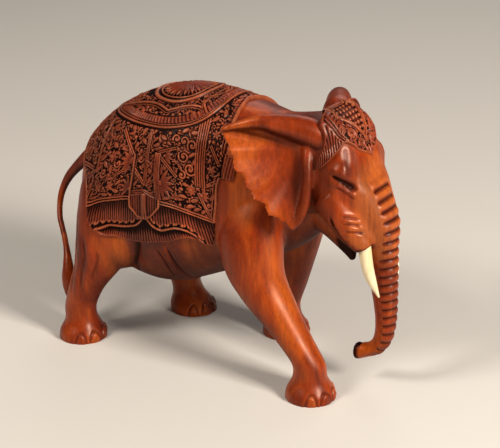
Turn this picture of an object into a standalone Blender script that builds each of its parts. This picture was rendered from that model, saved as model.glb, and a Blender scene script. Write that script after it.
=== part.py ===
"""Carved wooden elephant in a ceremonial saddle cloth, walking, with two inset tusks.

The body, from the trunk's tip to the tail, is one block of wood, so it is one solid, and the
cloth and headdress are raised areas of it. Each tusk is a separate piece whose tenon sits in a
blind socket in the cheek. The elephant faces +X, its right flank is at -Y, and its four soles
stand on z = 0. Shapes are given in millimetres and built in metres.
"""

import math

import bmesh
import bpy
import numpy as np
from mathutils import Matrix, Vector

MM = 0.001

# Driving dimensions, in millimetres.
FOOT_RADIUS = 16.7
ANKLE_RADIUS = 10.8
ANKLE_HEIGHT = 22.0
SOLE_DEPTH = 4.0
EAR_THICKNESS = 4.2
CLOTH_RAISE = 1.8
TUSK_RADIUS = 4.1
TENON_RADIUS = 2.5
TENON_LENGTH = 6.0
TUSK_RECESS = 3.0
GLUE_GAP = 0.3

# The point of the carving's own coordinates, x and y, that becomes the object's origin.
ORIGIN = (3.4, 1.1)

# How finely the block is carved.
VOXEL = 1.5
RING_POINTS = 36
STEPS_BETWEEN_STATIONS = 6
BODY_TRIANGLES = 11800

# The torso along its length: x, top z, bottom z, half-width, and squareness of the oval.
TORSO = [
    (-95, 122, 92, 12, 2.0),
    (-91, 133, 75, 24, 2.0),
    (-82, 145, 60, 35, 2.1),
    (-67, 158, 49, 43, 2.1),
    (-48, 169, 43, 48, 2.1),
    (-28, 176, 42, 50, 2.1),
    (-8, 178.5, 48, 49.5, 2.1),
    (14, 177, 58, 46, 2.1),
    (34, 174.5, 67, 41, 2.1),
    (52, 172, 77, 34, 2.0),
    (68, 170, 87, 26, 2.0),
    (80, 166, 98, 18, 2.0),
]
# Stations of a limb: x, y, z of the centre, the pitch of the limb's direction in degrees
# (0 points to +X, -90 straight down), the half-width across Y, the reach to the outer side
# (upper or front), the reach to the inner side, and the squareness, 2 for an oval.
HEAD_AND_TRUNK = [
    (40, 0, 140, 0, 30, 30, 34, 2.0),
    (60, 0, 142, 0, 27, 31, 34, 2.1),
    (78, 0, 144, -4, 26, 32.5, 36, 2.4),
    (89, 0, 144, -18, 27, 31.5, 36, 2.8),
    (96.5, 0, 140, -38, 27, 23.5, 34, 2.9),
    (102.5, 0, 131.5, -54, 24, 17.5, 27, 2.6),
    (108.5, 0, 121.5, -66, 19.0, 16.5, 20, 2.3),
    (115.5, 0, 111, -76, 14.0, 15, 14.5, 2.1),
    (119, 0, 100, -85, 10.8, 12.8, 11.5, 2.0),
    (121.5, 0, 88, -88, 9.6, 11.4, 9.6, 2.0),
    (123.5, 0, 74, -89, 8.6, 9.8, 8.2, 2.0),
    (125.3, 0, 60, -90, 7.6, 8.4, 7.0, 2.0),
    (126.2, 0, 47, -92, 6.8, 7.2, 6.4, 2.0),
    (125.2, 0, 36.5, -112, 6.2, 6.3, 6.2, 2.0),
    (121, 0, 28.5, -142, 5.6, 5.6, 5.6, 2.0),
    (114.5, 0, 24.5, -165, 5.2, 5.0, 5.0, 2.0),
    (109.5, 0, 22.8, -172, 5.8, 6.0, 5.6, 2.0),
    (105.8, 0, 22.2, -176, 6.6, 6.8, 6.0, 2.0),
]
HIND_RIGHT_LEG = [
    (-66, -18, 130, -90, 12, 14, 12, 2.0),
    (-67, -23, 112, -90, 20, 23, 19, 2.0),
    (-69, -28, 92, -90, 20.5, 27, 18, 2.0),
    (-71, -32, 72, -90, 19, 26, 15.5, 2.0),
    (-75, -35.5, 53, -90, 15.5, 20, 12.5, 2.0),
    (-80.5, -38.5, 37, -90, 12.6, 13.5, 11, 2.0),
]
HIND_LEFT_LEG = [
    (-64, 18, 130, -90, 12, 14, 12, 2.0),
    (-64, 23, 112, -90, 20, 22, 21, 2.0),
    (-62, 28, 92, -90, 21, 25, 22, 2.0),
    (-58, 31, 72, -90, 20, 22, 20, 2.0),
    (-54, 33.5, 53, -90, 16.5, 18, 17, 2.0),
    (-51.5, 35, 37, -90, 13.5, 14, 13.5, 2.0),
]
FRONT_RIGHT_LEG = [
    (46, -16, 138, -90, 10, 12, 12, 2.0),
    (44, -23, 118, -90, 17, 20, 20, 2.0),
    (45, -29.5, 97, -90, 18.5, 22, 21, 2.0),
    (50, -32.5, 76, -90, 17.5, 19.5, 19.5, 2.0),
    (62, -33.5, 58, -90, 15, 17, 17.5, 2.0),
    (74, -33.5, 44, -90, 12.4, 13.4, 14.5, 2.0),
    (83, -33.5, 33, -90, 11.2, 11.6, 12.2, 2.0),
]
FRONT_LEFT_LEG = [
    (46, 16, 138, -90, 10, 12, 12, 2.0),
    (46, 24, 118, -90, 17, 20, 20, 2.0),
    (44, 31, 95, -90, 18.5, 20, 20, 2.0),
    (41, 33, 76, -90, 17, 18.5, 18, 2.0),
    (37.5, 35, 56, -90, 14.2, 15.5, 15, 2.0),
    (34, 36.5, 38, -90, 12.4, 13, 13, 2.0),
]
# Where each foot stands, x and y, and how far its ankle lies behind the sole's middle.
FEET = {
    "hind_right": (-83.4, -40, 1.0),
    "hind_left": (-43, 35.5, 7.0),
    "front_right": (91.5, -33, 1.0),
    "front_left": (31.5, 38, 1.0),
}
# Round parts follow a line of x, y, z and radius.
TAIL = [
    (-86, 0, 126, 7.0),
    (-99, -1, 117, 5.4),
    (-111, -2, 106, 3.9),
    (-119.5, -3, 96, 3.2),
    (-124, -5, 86, 2.6),
    (-124, -8.5, 77.5, 2.3),
    (-120, -14, 69, 2.2),
    (-112, -20.5, 60.5, 2.2),
    (-105, -27, 53, 2.5),
    (-101.2, -31, 45, 3.6),
    (-99.6, -33, 37, 4.7),
    (-99, -34, 29, 4.0),
    (-99, -35, 22, 1.5),
]
JAW = [
    (82, 0, 116, 15.0),
    (89, 0, 108, 12.5),
    (95, 0, 99, 8.5),
    (99.5, 0, 91, 5.0),
    (102.5, 0, 83.8, 1.8),
]
# The right side's own round parts; the left side's mirror them.
CHEEK = [
    (94, -19, 133, 12.0),
    (102.5, -18.5, 121, 10.5),
    (110.5, -17.5, 111, 8.6),
    (116.3, -16.8, 104, 6.9),
    (118.4, -16.6, 100.5, 6.2),
]
EAR_RIM = [
    (94, -13, 162, 9.5),
    (85, -20, 169.5, 9.0),
    (75, -25.5, 173.5, 8.2),
    (65.5, -31.5, 176, 6.4),
    (56.5, -37.5, 177.5, 4.4),
    (46.5, -43, 175.5, 2.9),
    (35.5, -47, 171.8, 1.7),
]
EAR_FRONT_EDGE = [
    (81, -21, 166, 4.0),
    (83.5, -27, 156, 3.2),
    (86, -31, 145, 3.0),
    (86.5, -34, 131, 3.0),
    (84, -37, 120, 2.6),
    (80, -39.3, 113.5, 1.8),
]
# The right ear's sheet spreads from its hub on the head to this outline, from the lower tip
# back and up to the rear tip, then over the top and down the front.
EAR_HUB = (80, -23, 158)
EAR_OUTLINE = [
    (81, -41.5, 113.5),
    (74, -44, 120),
    (69, -46, 121.5),
    (65, -47.5, 128.5),
    (60, -48.5, 131),
    (55, -49, 136),
    (50.5, -49.5, 145),
    (45, -50, 150.5),
    (41.5, -49.5, 161),
    (34, -47, 171.5),
    (46, -43, 175),
    (57, -37.5, 177),
    (69, -29.5, 175.5),
    (80, -22, 171),
    (82, -24, 162),
    (83, -28, 154),
    (86.5, -32, 141),
    (86, -36, 128),
    (84, -39, 119),
]
EAR_LOBE_AMPLITUDE = 0.9
EAR_LOBE_WIDTH = 19.0
EAR_FIRST_NOTCH = -99.0
# The left ear stands out further than the right one: degrees of outward turn and of droop.
LEFT_EAR_FLARE = 15.0
LEFT_EAR_DROOP = 8.0

# The cloth's and headdress's outlines in x and z, seen from the side. The cloth's edges over
# the back are straight, so the outline runs on above the back.
CLOTH_OUTLINE = [
    (-98, 150),
    (-90, 130),
    (-79, 112),
    (-74, 98),
    (-70, 86),
    (-58, 82),
    (-37, 84),
    (-13, 86),
    (7, 91),
    (24, 92),
    (28, 108),
    (30, 135),
    (34, 160),
    (34, 190),
    (-98, 190),
]
HEADDRESS_OUTLINE = [
    (82, 190),
    (86, 150),
    (98, 160),
    (104, 163),
    (112, 160),
    (125, 165),
    (120, 190),
]

# The tusk's centre line, from the cheek to the tip, on the right side.
TUSK_LINE = [
    (118.7, -16.5, 101, 1.0),
    (121, -16.2, 89, 0.9),
    (124, -15, 79, 0.66),
    (127.2, -12.2, 69.2, 0.14),
]


def catmull_rom(rows, steps):
    """The rows with smooth in-between rows, as an array."""
    rows = np.array(rows, float)
    padded = np.vstack([2 * rows[0] - rows[1], rows, 2 * rows[-1] - rows[-2]])
    out = []
    for i in range(1, len(padded) - 2):
        a, b, c, d = padded[i - 1 : i + 3]
        for t in np.arange(steps) / steps:
            out.append(
                0.5
                * (
                    2 * b
                    + (c - a) * t
                    + (2 * a - 5 * b + 4 * c - d) * t**2
                    + (3 * b - a - 3 * c + d) * t**3
                )
            )
    return np.array(out + [rows[-1]])


def close_rings(mesh, rings):
    """Joins rings of vertices into a skin, and closes both ends."""
    count = len(rings[0])
    for one, other in zip(rings, rings[1:]):
        for i in range(count):
            j = (i + 1) % count
            mesh.faces.new((one[i], one[j], other[j], other[i]))
    mesh.faces.new(rings[0][::-1])
    mesh.faces.new(rings[-1])


def skin(mesh, stations):
    """Adds a closed skin through the stations of a limb to the bmesh."""
    turns = np.arange(RING_POINTS) * 2 * math.pi / RING_POINTS
    cosines, sines = np.cos(turns), np.sin(turns)
    rings = []
    rows = catmull_rom(stations, STEPS_BETWEEN_STATIONS)
    for x, y, z, pitch, half_width, outer, inner, squareness in rows:
        p = math.radians(pitch)
        across = half_width * np.sign(cosines) * np.abs(cosines) ** (2 / squareness)
        reach = np.sign(sines) * np.abs(sines) ** (2 / squareness)
        reach *= np.where(sines > 0, outer, inner)
        rings.append(
            [
                mesh.verts.new((x - math.sin(p) * r, y + a, z + math.cos(p) * r))
                for a, r in zip(across, reach)
            ]
        )
    close_rings(mesh, rings)


def tube(mesh, rows, ring=20):
    """Adds a closed round tube to the bmesh through rows of x, y, z and radius."""
    centres, radii = rows[:, :3], rows[:, 3]
    tangents = np.gradient(centres, axis=0)
    rings = []
    side = Vector((0, 1, 0))
    for centre, radius, tangent in zip(centres, radii, tangents):
        forward = Vector(tangent).normalized()
        side = (side - forward * side.dot(forward)).normalized()
        other = forward.cross(side)
        points = []
        for i in range(ring):
            turn = 2 * math.pi * i / ring
            offset = (side * math.cos(turn) + other * math.sin(turn)) * radius
            points.append(mesh.verts.new(Vector(centre) + offset))
        rings.append(points)
    close_rings(mesh, rings)


def lump(mesh, centre, radii, turn=0.0):
    """Adds an ellipsoid, turned in degrees about Y."""
    matrix = (
        Matrix.Translation(centre)
        @ Matrix.Rotation(math.radians(turn), 4, "Y")
        @ Matrix.Diagonal((*radii, 1))
    )
    bmesh.ops.create_icosphere(mesh, subdivisions=4, radius=1, matrix=matrix)


def sided(rows, side):
    """The right side's rows for side -1, and their mirror image for side 1."""
    return np.array([(row[0], -side * row[1], *row[2:]) for row in rows])


def torso_stations():
    rows = []
    for x, top, bottom, width, squareness in TORSO:
        half = (top - bottom) / 2
        rows.append((x, 0, bottom + half, 0, width, half, half, squareness))
    return rows


def leg_stations(upper, foot):
    """The upper leg's stations, then the ankle and the flared foot."""
    x, y, ankle_back = FEET[foot]
    ankle = (x - ankle_back, y, ANKLE_HEIGHT, -90, ANKLE_RADIUS, ANKLE_RADIUS, ANKLE_RADIUS, 2)
    shapes = [(13, 0.69), (5.5, 0.95), (1.5, 1.0), (-SOLE_DEPTH, 1.0)]
    foot_rows = []
    for z, share in shapes:
        radius = FOOT_RADIUS * share
        back = ankle_back * z / ANKLE_HEIGHT
        foot_rows.append((x - back, y, z, -90, radius, radius, radius * 0.94, 2))
    return upper + [ankle] + foot_rows


def ear_depth(dx, dz, t):
    """How far a point of the ear's sheet stands out at share t of the way to its edge."""
    angle = math.degrees(math.atan2(dz, dx))
    lobe = -math.cos(2 * math.pi * (angle - EAR_FIRST_NOTCH) / EAR_LOBE_WIDTH)
    lower = 1 if abs(angle) > abs(EAR_FIRST_NOTCH) - EAR_LOBE_WIDTH else 0
    return EAR_LOBE_AMPLITUDE * lobe * lower * t**2


def add_ear(mesh, side):
    """One ear: a cupped sheet between its hub and outline, with a rolled rim and front edge."""
    before = set(mesh.verts)
    hub = Vector(EAR_HUB)
    outline = catmull_rom(EAR_OUTLINE + EAR_OUTLINE[:1], 4)[:-1]
    count, rings = len(outline), 10
    outer_rows, inner_rows = [], []
    for point in outline:
        reach = Vector(point) - hub
        outer_row, inner_row = [], []
        for i in range(1, rings + 1):
            t = i / rings
            x, z = hub.x + reach.x * t, hub.z + reach.z * t
            y = hub.y + reach.y * t**1.7 - ear_depth(reach.x, reach.z, t)
            half = EAR_THICKNESS / 2 * (1.3 - 0.5 * t) * math.sqrt(1.12 - t**8)
            outer_row.append(mesh.verts.new((x, -side * (y - half), z)))
            inner_row.append(mesh.verts.new((x, -side * (y + half), z)))
        outer_rows.append(outer_row)
        inner_rows.append(inner_row)
    half = EAR_THICKNESS * 0.65
    outer_hub = mesh.verts.new((hub.x, -side * (hub.y - half), hub.z))
    inner_hub = mesh.verts.new((hub.x, -side * (hub.y + half), hub.z))
    for a in range(count):
        b = (a + 1) % count
        mesh.faces.new((outer_hub, outer_rows[a][0], outer_rows[b][0]))
        mesh.faces.new((inner_hub, inner_rows[b][0], inner_rows[a][0]))
        for rows, turn in ((outer_rows, 1), (inner_rows, -1)):
            for i in range(rings - 1):
                face = (rows[a][i], rows[a][i + 1], rows[b][i + 1], rows[b][i])
                mesh.faces.new(face[::turn])
        mesh.faces.new((outer_rows[a][-1], inner_rows[a][-1], inner_rows[b][-1], outer_rows[b][-1]))
    tube(mesh, catmull_rom(sided(EAR_RIM, side), STEPS_BETWEEN_STATIONS))
    tube(mesh, catmull_rom(sided(EAR_FRONT_EDGE, side), STEPS_BETWEEN_STATIONS))
    if side == 1:
        turn = Matrix.Rotation(math.radians(-LEFT_EAR_FLARE), 3, "Z")
        turn = turn @ Matrix.Rotation(math.radians(-LEFT_EAR_DROOP), 3, "Y")
        ear = [vertex for vertex in mesh.verts if vertex not in before]
        bmesh.ops.rotate(mesh, cent=(hub.x, -hub.y, hub.z), matrix=turn, verts=ear)


def object_from(mesh, name):
    """An object that holds the bmesh's shape, scaled from millimetres to metres."""
    bmesh.ops.recalc_face_normals(mesh, faces=mesh.faces)
    bmesh.ops.scale(mesh, vec=(MM, MM, MM), verts=mesh.verts)
    data = bpy.data.meshes.new(name)
    mesh.to_mesh(data)
    mesh.free()
    made = bpy.data.objects.new(name, data)
    bpy.context.scene.collection.objects.link(made)
    return made


def applied(obj):
    """Replaces the object's mesh with what its modifiers make, and drops them."""
    bpy.context.view_layer.update()
    graph = bpy.context.evaluated_depsgraph_get()
    data = bpy.data.meshes.new_from_object(obj.evaluated_get(graph))
    obj.modifiers.clear()
    obj.data = data


def merge_and_soften(obj, smoothing):
    """Makes one skin of the object's overlapping shapes and rounds their joins."""
    remesh = obj.modifiers.new("one_skin", "REMESH")
    remesh.mode = "VOXEL"
    remesh.voxel_size = VOXEL * MM
    smooth = obj.modifiers.new("soften", "SMOOTH")
    smooth.factor = 0.5
    smooth.iterations = smoothing
    applied(obj)


def make_mass():
    """Torso, legs, head and trunk as one softened mass."""
    mesh = bmesh.new()
    skin(mesh, torso_stations())
    skin(mesh, HEAD_AND_TRUNK)
    skin(mesh, leg_stations(HIND_RIGHT_LEG, "hind_right"))
    skin(mesh, leg_stations(HIND_LEFT_LEG, "hind_left"))
    skin(mesh, leg_stations(FRONT_RIGHT_LEG, "front_right"))
    skin(mesh, leg_stations(FRONT_LEFT_LEG, "front_left"))
    for side in (-1, 1):
        tube(mesh, catmull_rom(sided(CHEEK, side), STEPS_BETWEEN_STATIONS))
        lump(mesh, (102, side * 21.5, 146), (8, 6.5, 12), 20)
    lump(mesh, (-59, -31, 79), (27, 17.5, 26))
    lump(mesh, (-53, 31, 82), (26, 17, 26))
    mass = object_from(mesh, "mass")
    merge_and_soften(mass, 10)
    return mass


def add_thin_parts(mass):
    """The body with its ears, tail and jaw, which take less softening than the mass."""
    mesh = bmesh.new()
    mesh.from_mesh(mass.data)
    bmesh.ops.scale(mesh, vec=(1 / MM, 1 / MM, 1 / MM), verts=mesh.verts)
    bpy.data.objects.remove(mass)
    for side in (-1, 1):
        add_ear(mesh, side)
    tube(mesh, catmull_rom(TAIL, STEPS_BETWEEN_STATIONS))
    tube(mesh, catmull_rom(JAW, STEPS_BETWEEN_STATIONS))
    body = object_from(mesh, "carved_body")
    merge_and_soften(body, 3)
    return body


def depth_inside(points, outline):
    """How deep each point lies inside a closed outline, below zero outside it."""
    nearest = np.full(len(points), np.inf)
    crossings = np.zeros(len(points), int)
    px, pz = points[:, 0], points[:, 1]
    for (ax, az), (bx, bz) in zip(outline, outline[1:] + outline[:1]):
        dx, dz = bx - ax, bz - az
        t = np.clip(((px - ax) * dx + (pz - az) * dz) / (dx * dx + dz * dz), 0, 1)
        nearest = np.minimum(nearest, np.hypot(px - ax - t * dx, pz - az - t * dz))
        spans = (az > pz) != (bz > pz)
        if dz:
            crossings += spans & (px < ax + (pz - az) / dz * dx)
    return np.where(crossings % 2 == 1, nearest, -nearest)


def raise_cloths(obj):
    """Lifts the saddle cloth and the headdress off the body by the cloth's thickness."""
    data = obj.data
    count = len(data.vertices)
    points = np.empty(count * 3)
    normals = np.empty(count * 3)
    data.vertices.foreach_get("co", points)
    data.vertex_normals.foreach_get("vector", normals)
    points, normals = points.reshape(-1, 3), normals.reshape(-1, 3)
    side_view = points[:, [0, 2]] / MM
    cloth = depth_inside(side_view, CLOTH_OUTLINE)
    headdress = depth_inside(side_view, HEADDRESS_OUTLINE)
    headdress = np.where(np.abs(points[:, 1]) < 32 * MM, headdress, -1)
    depth = np.maximum(cloth, headdress)
    lift = np.clip(depth / 1.2 + 0.5, 0, 1) * CLOTH_RAISE * MM
    points += normals * lift[:, None]
    data.vertices.foreach_set("co", points.ravel())
    data.update()


def thin_out(obj):
    """Reduces the mesh to the body's budget of triangles."""
    triangles = sum(len(face.vertices) - 2 for face in obj.data.polygons)
    decimate = obj.modifiers.new("thin_out", "DECIMATE")
    decimate.ratio = BODY_TRIANGLES / triangles
    applied(obj)


def cut(body, cutter):
    """Cuts the cutter's shape out of the body, and leaves the cutter as a guide."""
    cutter.hide_render = True
    cutter.display_type = "WIRE"
    boolean = body.modifiers.new(cutter.name, "BOOLEAN")
    boolean.operation = "DIFFERENCE"
    boolean.solver = "EXACT"
    boolean.object = cutter


def ground_cutter():
    """A block whose top is the plane that the soles stand on."""
    mesh = bmesh.new()
    matrix = Matrix.Translation((0, 0, -10)) @ Matrix.Diagonal((400, 300, 20, 1))
    bmesh.ops.create_cube(mesh, size=1, matrix=matrix)
    return object_from(mesh, "ground_cutter")


def tusk_rows(side):
    """The visible tusk's centre line and radius, with its direction into the cheek."""
    rows = catmull_rom(sided(TUSK_LINE, side), STEPS_BETWEEN_STATIONS)
    rows[:, 3] *= TUSK_RADIUS
    inward = rows[0, :3] - rows[1, :3]
    return rows, inward / np.linalg.norm(inward)


def turned(mesh, start, direction, profile):
    """Adds a solid turned about a straight line: distance along it and radius for each step."""
    rows = np.array([(*(start + direction * distance), radius) for distance, radius in profile])
    tangent = Vector(direction)
    side = tangent.orthogonal().normalized()
    other = tangent.cross(side)
    rings = []
    for *centre, radius in rows:
        ring = []
        for i in range(24):
            turn = 2 * math.pi * i / 24
            offset = (side * math.cos(turn) + other * math.sin(turn)) * radius
            ring.append(mesh.verts.new(Vector(centre) + offset))
        rings.append(ring)
    close_rings(mesh, rings)


def socket_cutter(side, name):
    """The blind hole for a tusk: the tenon's bore, then the wider recess for its foot."""
    rows, inward = tusk_rows(side)
    bore = TENON_RADIUS + GLUE_GAP
    recess = TUSK_RADIUS + GLUE_GAP
    shoulder = TUSK_RECESS + GLUE_GAP
    profile = [(-7, recess), (shoulder, recess), (shoulder, bore), (shoulder + TENON_LENGTH, bore)]
    mesh = bmesh.new()
    turned(mesh, rows[0, :3], inward, profile)
    return object_from(mesh, name)


def make_tusk(side, name):
    """A curved, tapering tusk that is round, with a thinner tenon at its foot."""
    rows, inward = tusk_rows(side)
    mesh = bmesh.new()
    tube(mesh, rows, 24)
    tusk = object_from(mesh, name)
    mesh = bmesh.new()
    foot = [(-0.2, TUSK_RADIUS * 0.999), (TUSK_RECESS, TUSK_RADIUS)]
    tenon = [(TUSK_RECESS, TENON_RADIUS), (TUSK_RECESS + TENON_LENGTH, TENON_RADIUS)]
    turned(mesh, rows[0, :3], inward, foot + tenon)
    root = object_from(mesh, name + "_root")
    join = tusk.modifiers.new("tenon", "BOOLEAN")
    join.operation = "UNION"
    join.solver = "EXACT"
    join.object = root
    applied(tusk)
    bpy.data.objects.remove(root)
    return tusk


def material(name, colour, roughness):
    made = bpy.data.materials.new(name)
    made.use_nodes = True
    shader = made.node_tree.nodes["Principled BSDF"]
    shader.inputs["Base Color"].default_value = (*colour, 1)
    shader.inputs["Roughness"].default_value = roughness
    shader.inputs["Metallic"].default_value = 0
    return made


def finish(obj, look):
    """Gives the object its material and smooth shading, and moves it to the object's origin."""
    obj.data.materials.clear()
    obj.data.materials.append(look)
    obj.data.shade_smooth()
    obj.data.transform(Matrix.Translation((-ORIGIN[0] * MM, -ORIGIN[1] * MM, 0)))


def clear_scene():
    for obj in list(bpy.data.objects):
        bpy.data.objects.remove(obj)


def build():
    clear_scene()
    body = add_thin_parts(make_mass())
    raise_cloths(body)
    thin_out(body)
    cutters = [
        ground_cutter(),
        socket_cutter(-1, "right_socket_cutter"),
        socket_cutter(1, "left_socket_cutter"),
    ]
    for cutter in cutters:
        cut(body, cutter)
    applied(body)
    for cutter in cutters:
        bpy.data.objects.remove(cutter)
    finish(body, material("carved_hardwood", (0.23, 0.055, 0.018), 0.32))
    tusk_look = material("bone", (0.83, 0.76, 0.56), 0.35)
    for side, name in ((-1, "right_tusk"), (1, "left_tusk")):
        finish(make_tusk(side, name), tusk_look.copy())


build()
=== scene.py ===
"""Looks of the carved wooden elephant: the fine carving, the wood, the tusks and the studio.

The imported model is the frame. The body is built again from the same stations as the packed
block, at a finer scale, and then carved: trunk rolls, eyes, mouth, toes, folds and girth strap.
The saddle cloth and the headdress are closed shells laid on that body, whose relief is worked
out in flat cloth coordinates. Shapes are given in millimetres in the carving's own coordinates, and
moved to the object's origin when they are done.
"""

import math

import bmesh
import bpy
import numpy as np
from mathutils import Matrix, Vector
from mathutils.bvhtree import BVHTree


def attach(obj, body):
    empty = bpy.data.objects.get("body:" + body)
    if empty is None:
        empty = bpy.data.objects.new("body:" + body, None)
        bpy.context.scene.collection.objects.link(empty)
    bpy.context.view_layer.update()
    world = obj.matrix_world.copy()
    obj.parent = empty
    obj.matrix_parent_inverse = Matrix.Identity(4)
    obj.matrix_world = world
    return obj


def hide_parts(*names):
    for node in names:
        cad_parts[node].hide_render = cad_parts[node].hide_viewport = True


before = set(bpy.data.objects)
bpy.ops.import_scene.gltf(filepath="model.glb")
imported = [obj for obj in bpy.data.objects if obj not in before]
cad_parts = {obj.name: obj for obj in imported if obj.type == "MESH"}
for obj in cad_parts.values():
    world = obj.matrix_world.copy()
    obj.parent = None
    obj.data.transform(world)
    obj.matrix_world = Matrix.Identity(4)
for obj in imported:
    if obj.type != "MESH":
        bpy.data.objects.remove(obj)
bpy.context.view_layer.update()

MM = 0.001
ORIGIN = (3.4, 1.1)

# The body's driving sizes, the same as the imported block's.
FOOT_RADIUS = 16.7
ANKLE_RADIUS = 10.8
ANKLE_HEIGHT = 22.0
SOLE_DEPTH = 4.0
EAR_THICKNESS = 4.2
TUSK_RADIUS = 4.1
TUSK_RECESS = 3.0

# How finely the body is carved.
VOXEL = 1.2
RING_POINTS = 48
STEPS_BETWEEN_STATIONS = 8
EAR_RINGS = 14

TORSO = [
    (-95, 122, 92, 12, 2.0), (-91, 133, 75, 24, 2.0), (-82, 145, 60, 35, 2.1), (-67, 158, 49, 43, 2.1),
    (-48, 169, 43, 48, 2.1), (-28, 176, 42, 50, 2.1), (-8, 178.5, 48, 49.5, 2.1),
    (14, 177, 58, 46, 2.1), (34, 174.5, 67, 41, 2.1), (52, 172, 77, 34, 2.0), (68, 170, 87, 26, 2.0),
    (80, 166, 98, 18, 2.0),
]
# Stations of a limb: x, y, z of the centre, the pitch of the limb's direction in degrees
# (0 points to +X, -90 straight down), the half-width across Y, the reach to the outer side
# (upper or front), the reach to the inner side, and the squareness, 2 for an oval.
HEAD_AND_TRUNK = [
    (40, 0, 140, 0, 30, 30, 34, 2.0), (60, 0, 142, 0, 27, 31, 34, 2.1),
    (78, 0, 144, -4, 26, 32.5, 36, 2.4), (89, 0, 144, -18, 27, 31.5, 36, 2.8),
    (96.5, 0, 140, -38, 27, 23.5, 34, 2.9), (102.5, 0, 131.5, -54, 24, 17.5, 27, 2.6),
    (108.5, 0, 121.5, -66, 19.0, 16.5, 20, 2.3), (115.5, 0, 111, -76, 14.0, 15, 14.5, 2.1),
    (119, 0, 100, -85, 10.8, 12.8, 11.5, 2.0), (121.5, 0, 88, -88, 9.6, 11.4, 9.6, 2.0),
    (123.5, 0, 74, -89, 8.6, 9.8, 8.2, 2.0), (125.3, 0, 60, -90, 7.6, 8.4, 7.0, 2.0),
    (126.2, 0, 47, -92, 6.8, 7.2, 6.4, 2.0), (125.2, 0, 36.5, -112, 6.2, 6.3, 6.2, 2.0),
    (121, 0, 28.5, -142, 5.6, 5.6, 5.6, 2.0), (114.5, 0, 24.5, -165, 5.2, 5.0, 5.0, 2.0),
    (109.5, 0, 22.8, -172, 5.8, 6.0, 5.6, 2.0), (105.8, 0, 22.2, -176, 6.6, 6.8, 6.0, 2.0),
]
# The upper part of each leg, from inside the torso down to the shank.
LEGS = {
    "hind_right": [
        (-66, -18, 130, -90, 12, 14, 12, 2.0), (-67, -23, 112, -90, 20, 23, 19, 2.0),
        (-69, -28, 92, -90, 20.5, 27, 18, 2.0), (-71, -32, 72, -90, 19, 26, 15.5, 2.0),
        (-75, -35.5, 53, -90, 15.5, 20, 12.5, 2.0), (-80.5, -38.5, 37, -90, 12.6, 13.5, 11, 2.0),
    ],
    "hind_left": [
        (-64, 18, 130, -90, 12, 14, 12, 2.0), (-64, 23, 112, -90, 20, 22, 21, 2.0),
        (-62, 28, 92, -90, 21, 25, 22, 2.0), (-58, 31, 72, -90, 20, 22, 20, 2.0),
        (-54, 33.5, 53, -90, 16.5, 18, 17, 2.0), (-51.5, 35, 37, -90, 13.5, 14, 13.5, 2.0),
    ],
    "front_right": [
        (46, -16, 138, -90, 10, 12, 12, 2.0), (44, -23, 118, -90, 17, 20, 20, 2.0),
        (45, -29.5, 97, -90, 18.5, 22, 21, 2.0), (50, -32.5, 76, -90, 17.5, 19.5, 19.5, 2.0),
        (62, -33.5, 58, -90, 15, 17, 17.5, 2.0), (74, -33.5, 44, -90, 12.4, 13.4, 14.5, 2.0),
        (83, -33.5, 33, -90, 11.2, 11.6, 12.2, 2.0),
    ],
    "front_left": [
        (46, 16, 138, -90, 10, 12, 12, 2.0), (46, 24, 118, -90, 17, 20, 20, 2.0),
        (44, 31, 95, -90, 18.5, 20, 20, 2.0), (41, 33, 76, -90, 17, 18.5, 18, 2.0),
        (37.5, 35, 56, -90, 14.2, 15.5, 15, 2.0), (34, 36.5, 38, -90, 12.4, 13, 13, 2.0),
    ],
}
# Where each foot stands, x and y, and how far its ankle lies behind the sole's middle.
FEET = {
    "hind_right": (-83.4, -40, 1.0),
    "hind_left": (-43, 35.5, 7.0),
    "front_right": (91.5, -33, 1.0),
    "front_left": (31.5, 38, 1.0),
}
# Below the ankle: height and share of the foot's radius.
FOOT_SHAPE = [(13, 0.69), (5.5, 0.95), (1.5, 1.0), (-SOLE_DEPTH, 1.0)]
# Round parts follow a line of x, y, z and radius.
TAIL = [
    (-86, 0, 126, 7.0), (-99, -1, 117, 5.4), (-111, -2, 106, 3.9), (-119.5, -3, 96, 3.2),
    (-124, -5, 86, 2.6), (-124, -8.5, 77.5, 2.3), (-120, -14, 69, 2.2), (-112, -20.5, 60.5, 2.2),
    (-105, -27, 53, 2.5), (-101.2, -31, 45, 3.6), (-99.6, -33, 37, 4.7), (-99, -34, 29, 4.0),
    (-99, -35, 22, 1.5),
]
JAW = [
    (82, 0, 116, 15.0), (89, 0, 108, 12.5), (95, 0, 99, 8.5), (99.5, 0, 91, 5.0), (102.5, 0, 83.8, 1.8),
]
# The right side's own round parts; the left side's mirror them.
CHEEK = [
    (94, -19, 133, 12.0), (102.5, -18.5, 121, 10.5), (110.5, -17.5, 111, 8.6), (116.3, -16.8, 104, 6.9),
    (118.4, -16.6, 100.5, 6.2),
]
MUZZLE = [(97, -12, 135, 13.0), (105, -12, 123, 11.5), (112, -11, 112.5, 9.4), (117, -10.5, 105, 7.0)]
EAR_RIM = [
    (94, -13, 162, 9.5), (85, -20, 169.5, 9.0), (75, -25.5, 173.5, 8.2), (65.5, -31.5, 176, 6.4),
    (56.5, -37.5, 177.5, 4.4), (46.5, -43, 175.5, 2.9), (35.5, -47, 171.8, 1.7),
]
LEFT_EAR_RIM = [
    (90, -16, 158, 6.0), (85, -18, 169.5, 10.4), (75, -25, 174, 8.8), (65.5, -31.5, 175, 7.8),
    (58, -37, 174.5, 6.2), (51, -41, 168.5, 2.2), (44, -44, 173.5, 3.4), (38.5, -46, 172, 2.6),
]
EAR_FRONT_EDGE = [
    (81, -21, 166, 4.0), (83.5, -27, 156, 3.2), (86, -31, 145, 3.0), (86.5, -34, 131, 3.0),
    (84, -37, 120, 2.6), (80, -39.3, 113.5, 1.8),
]
EAR_HUB = (80, -23, 158)
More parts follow.
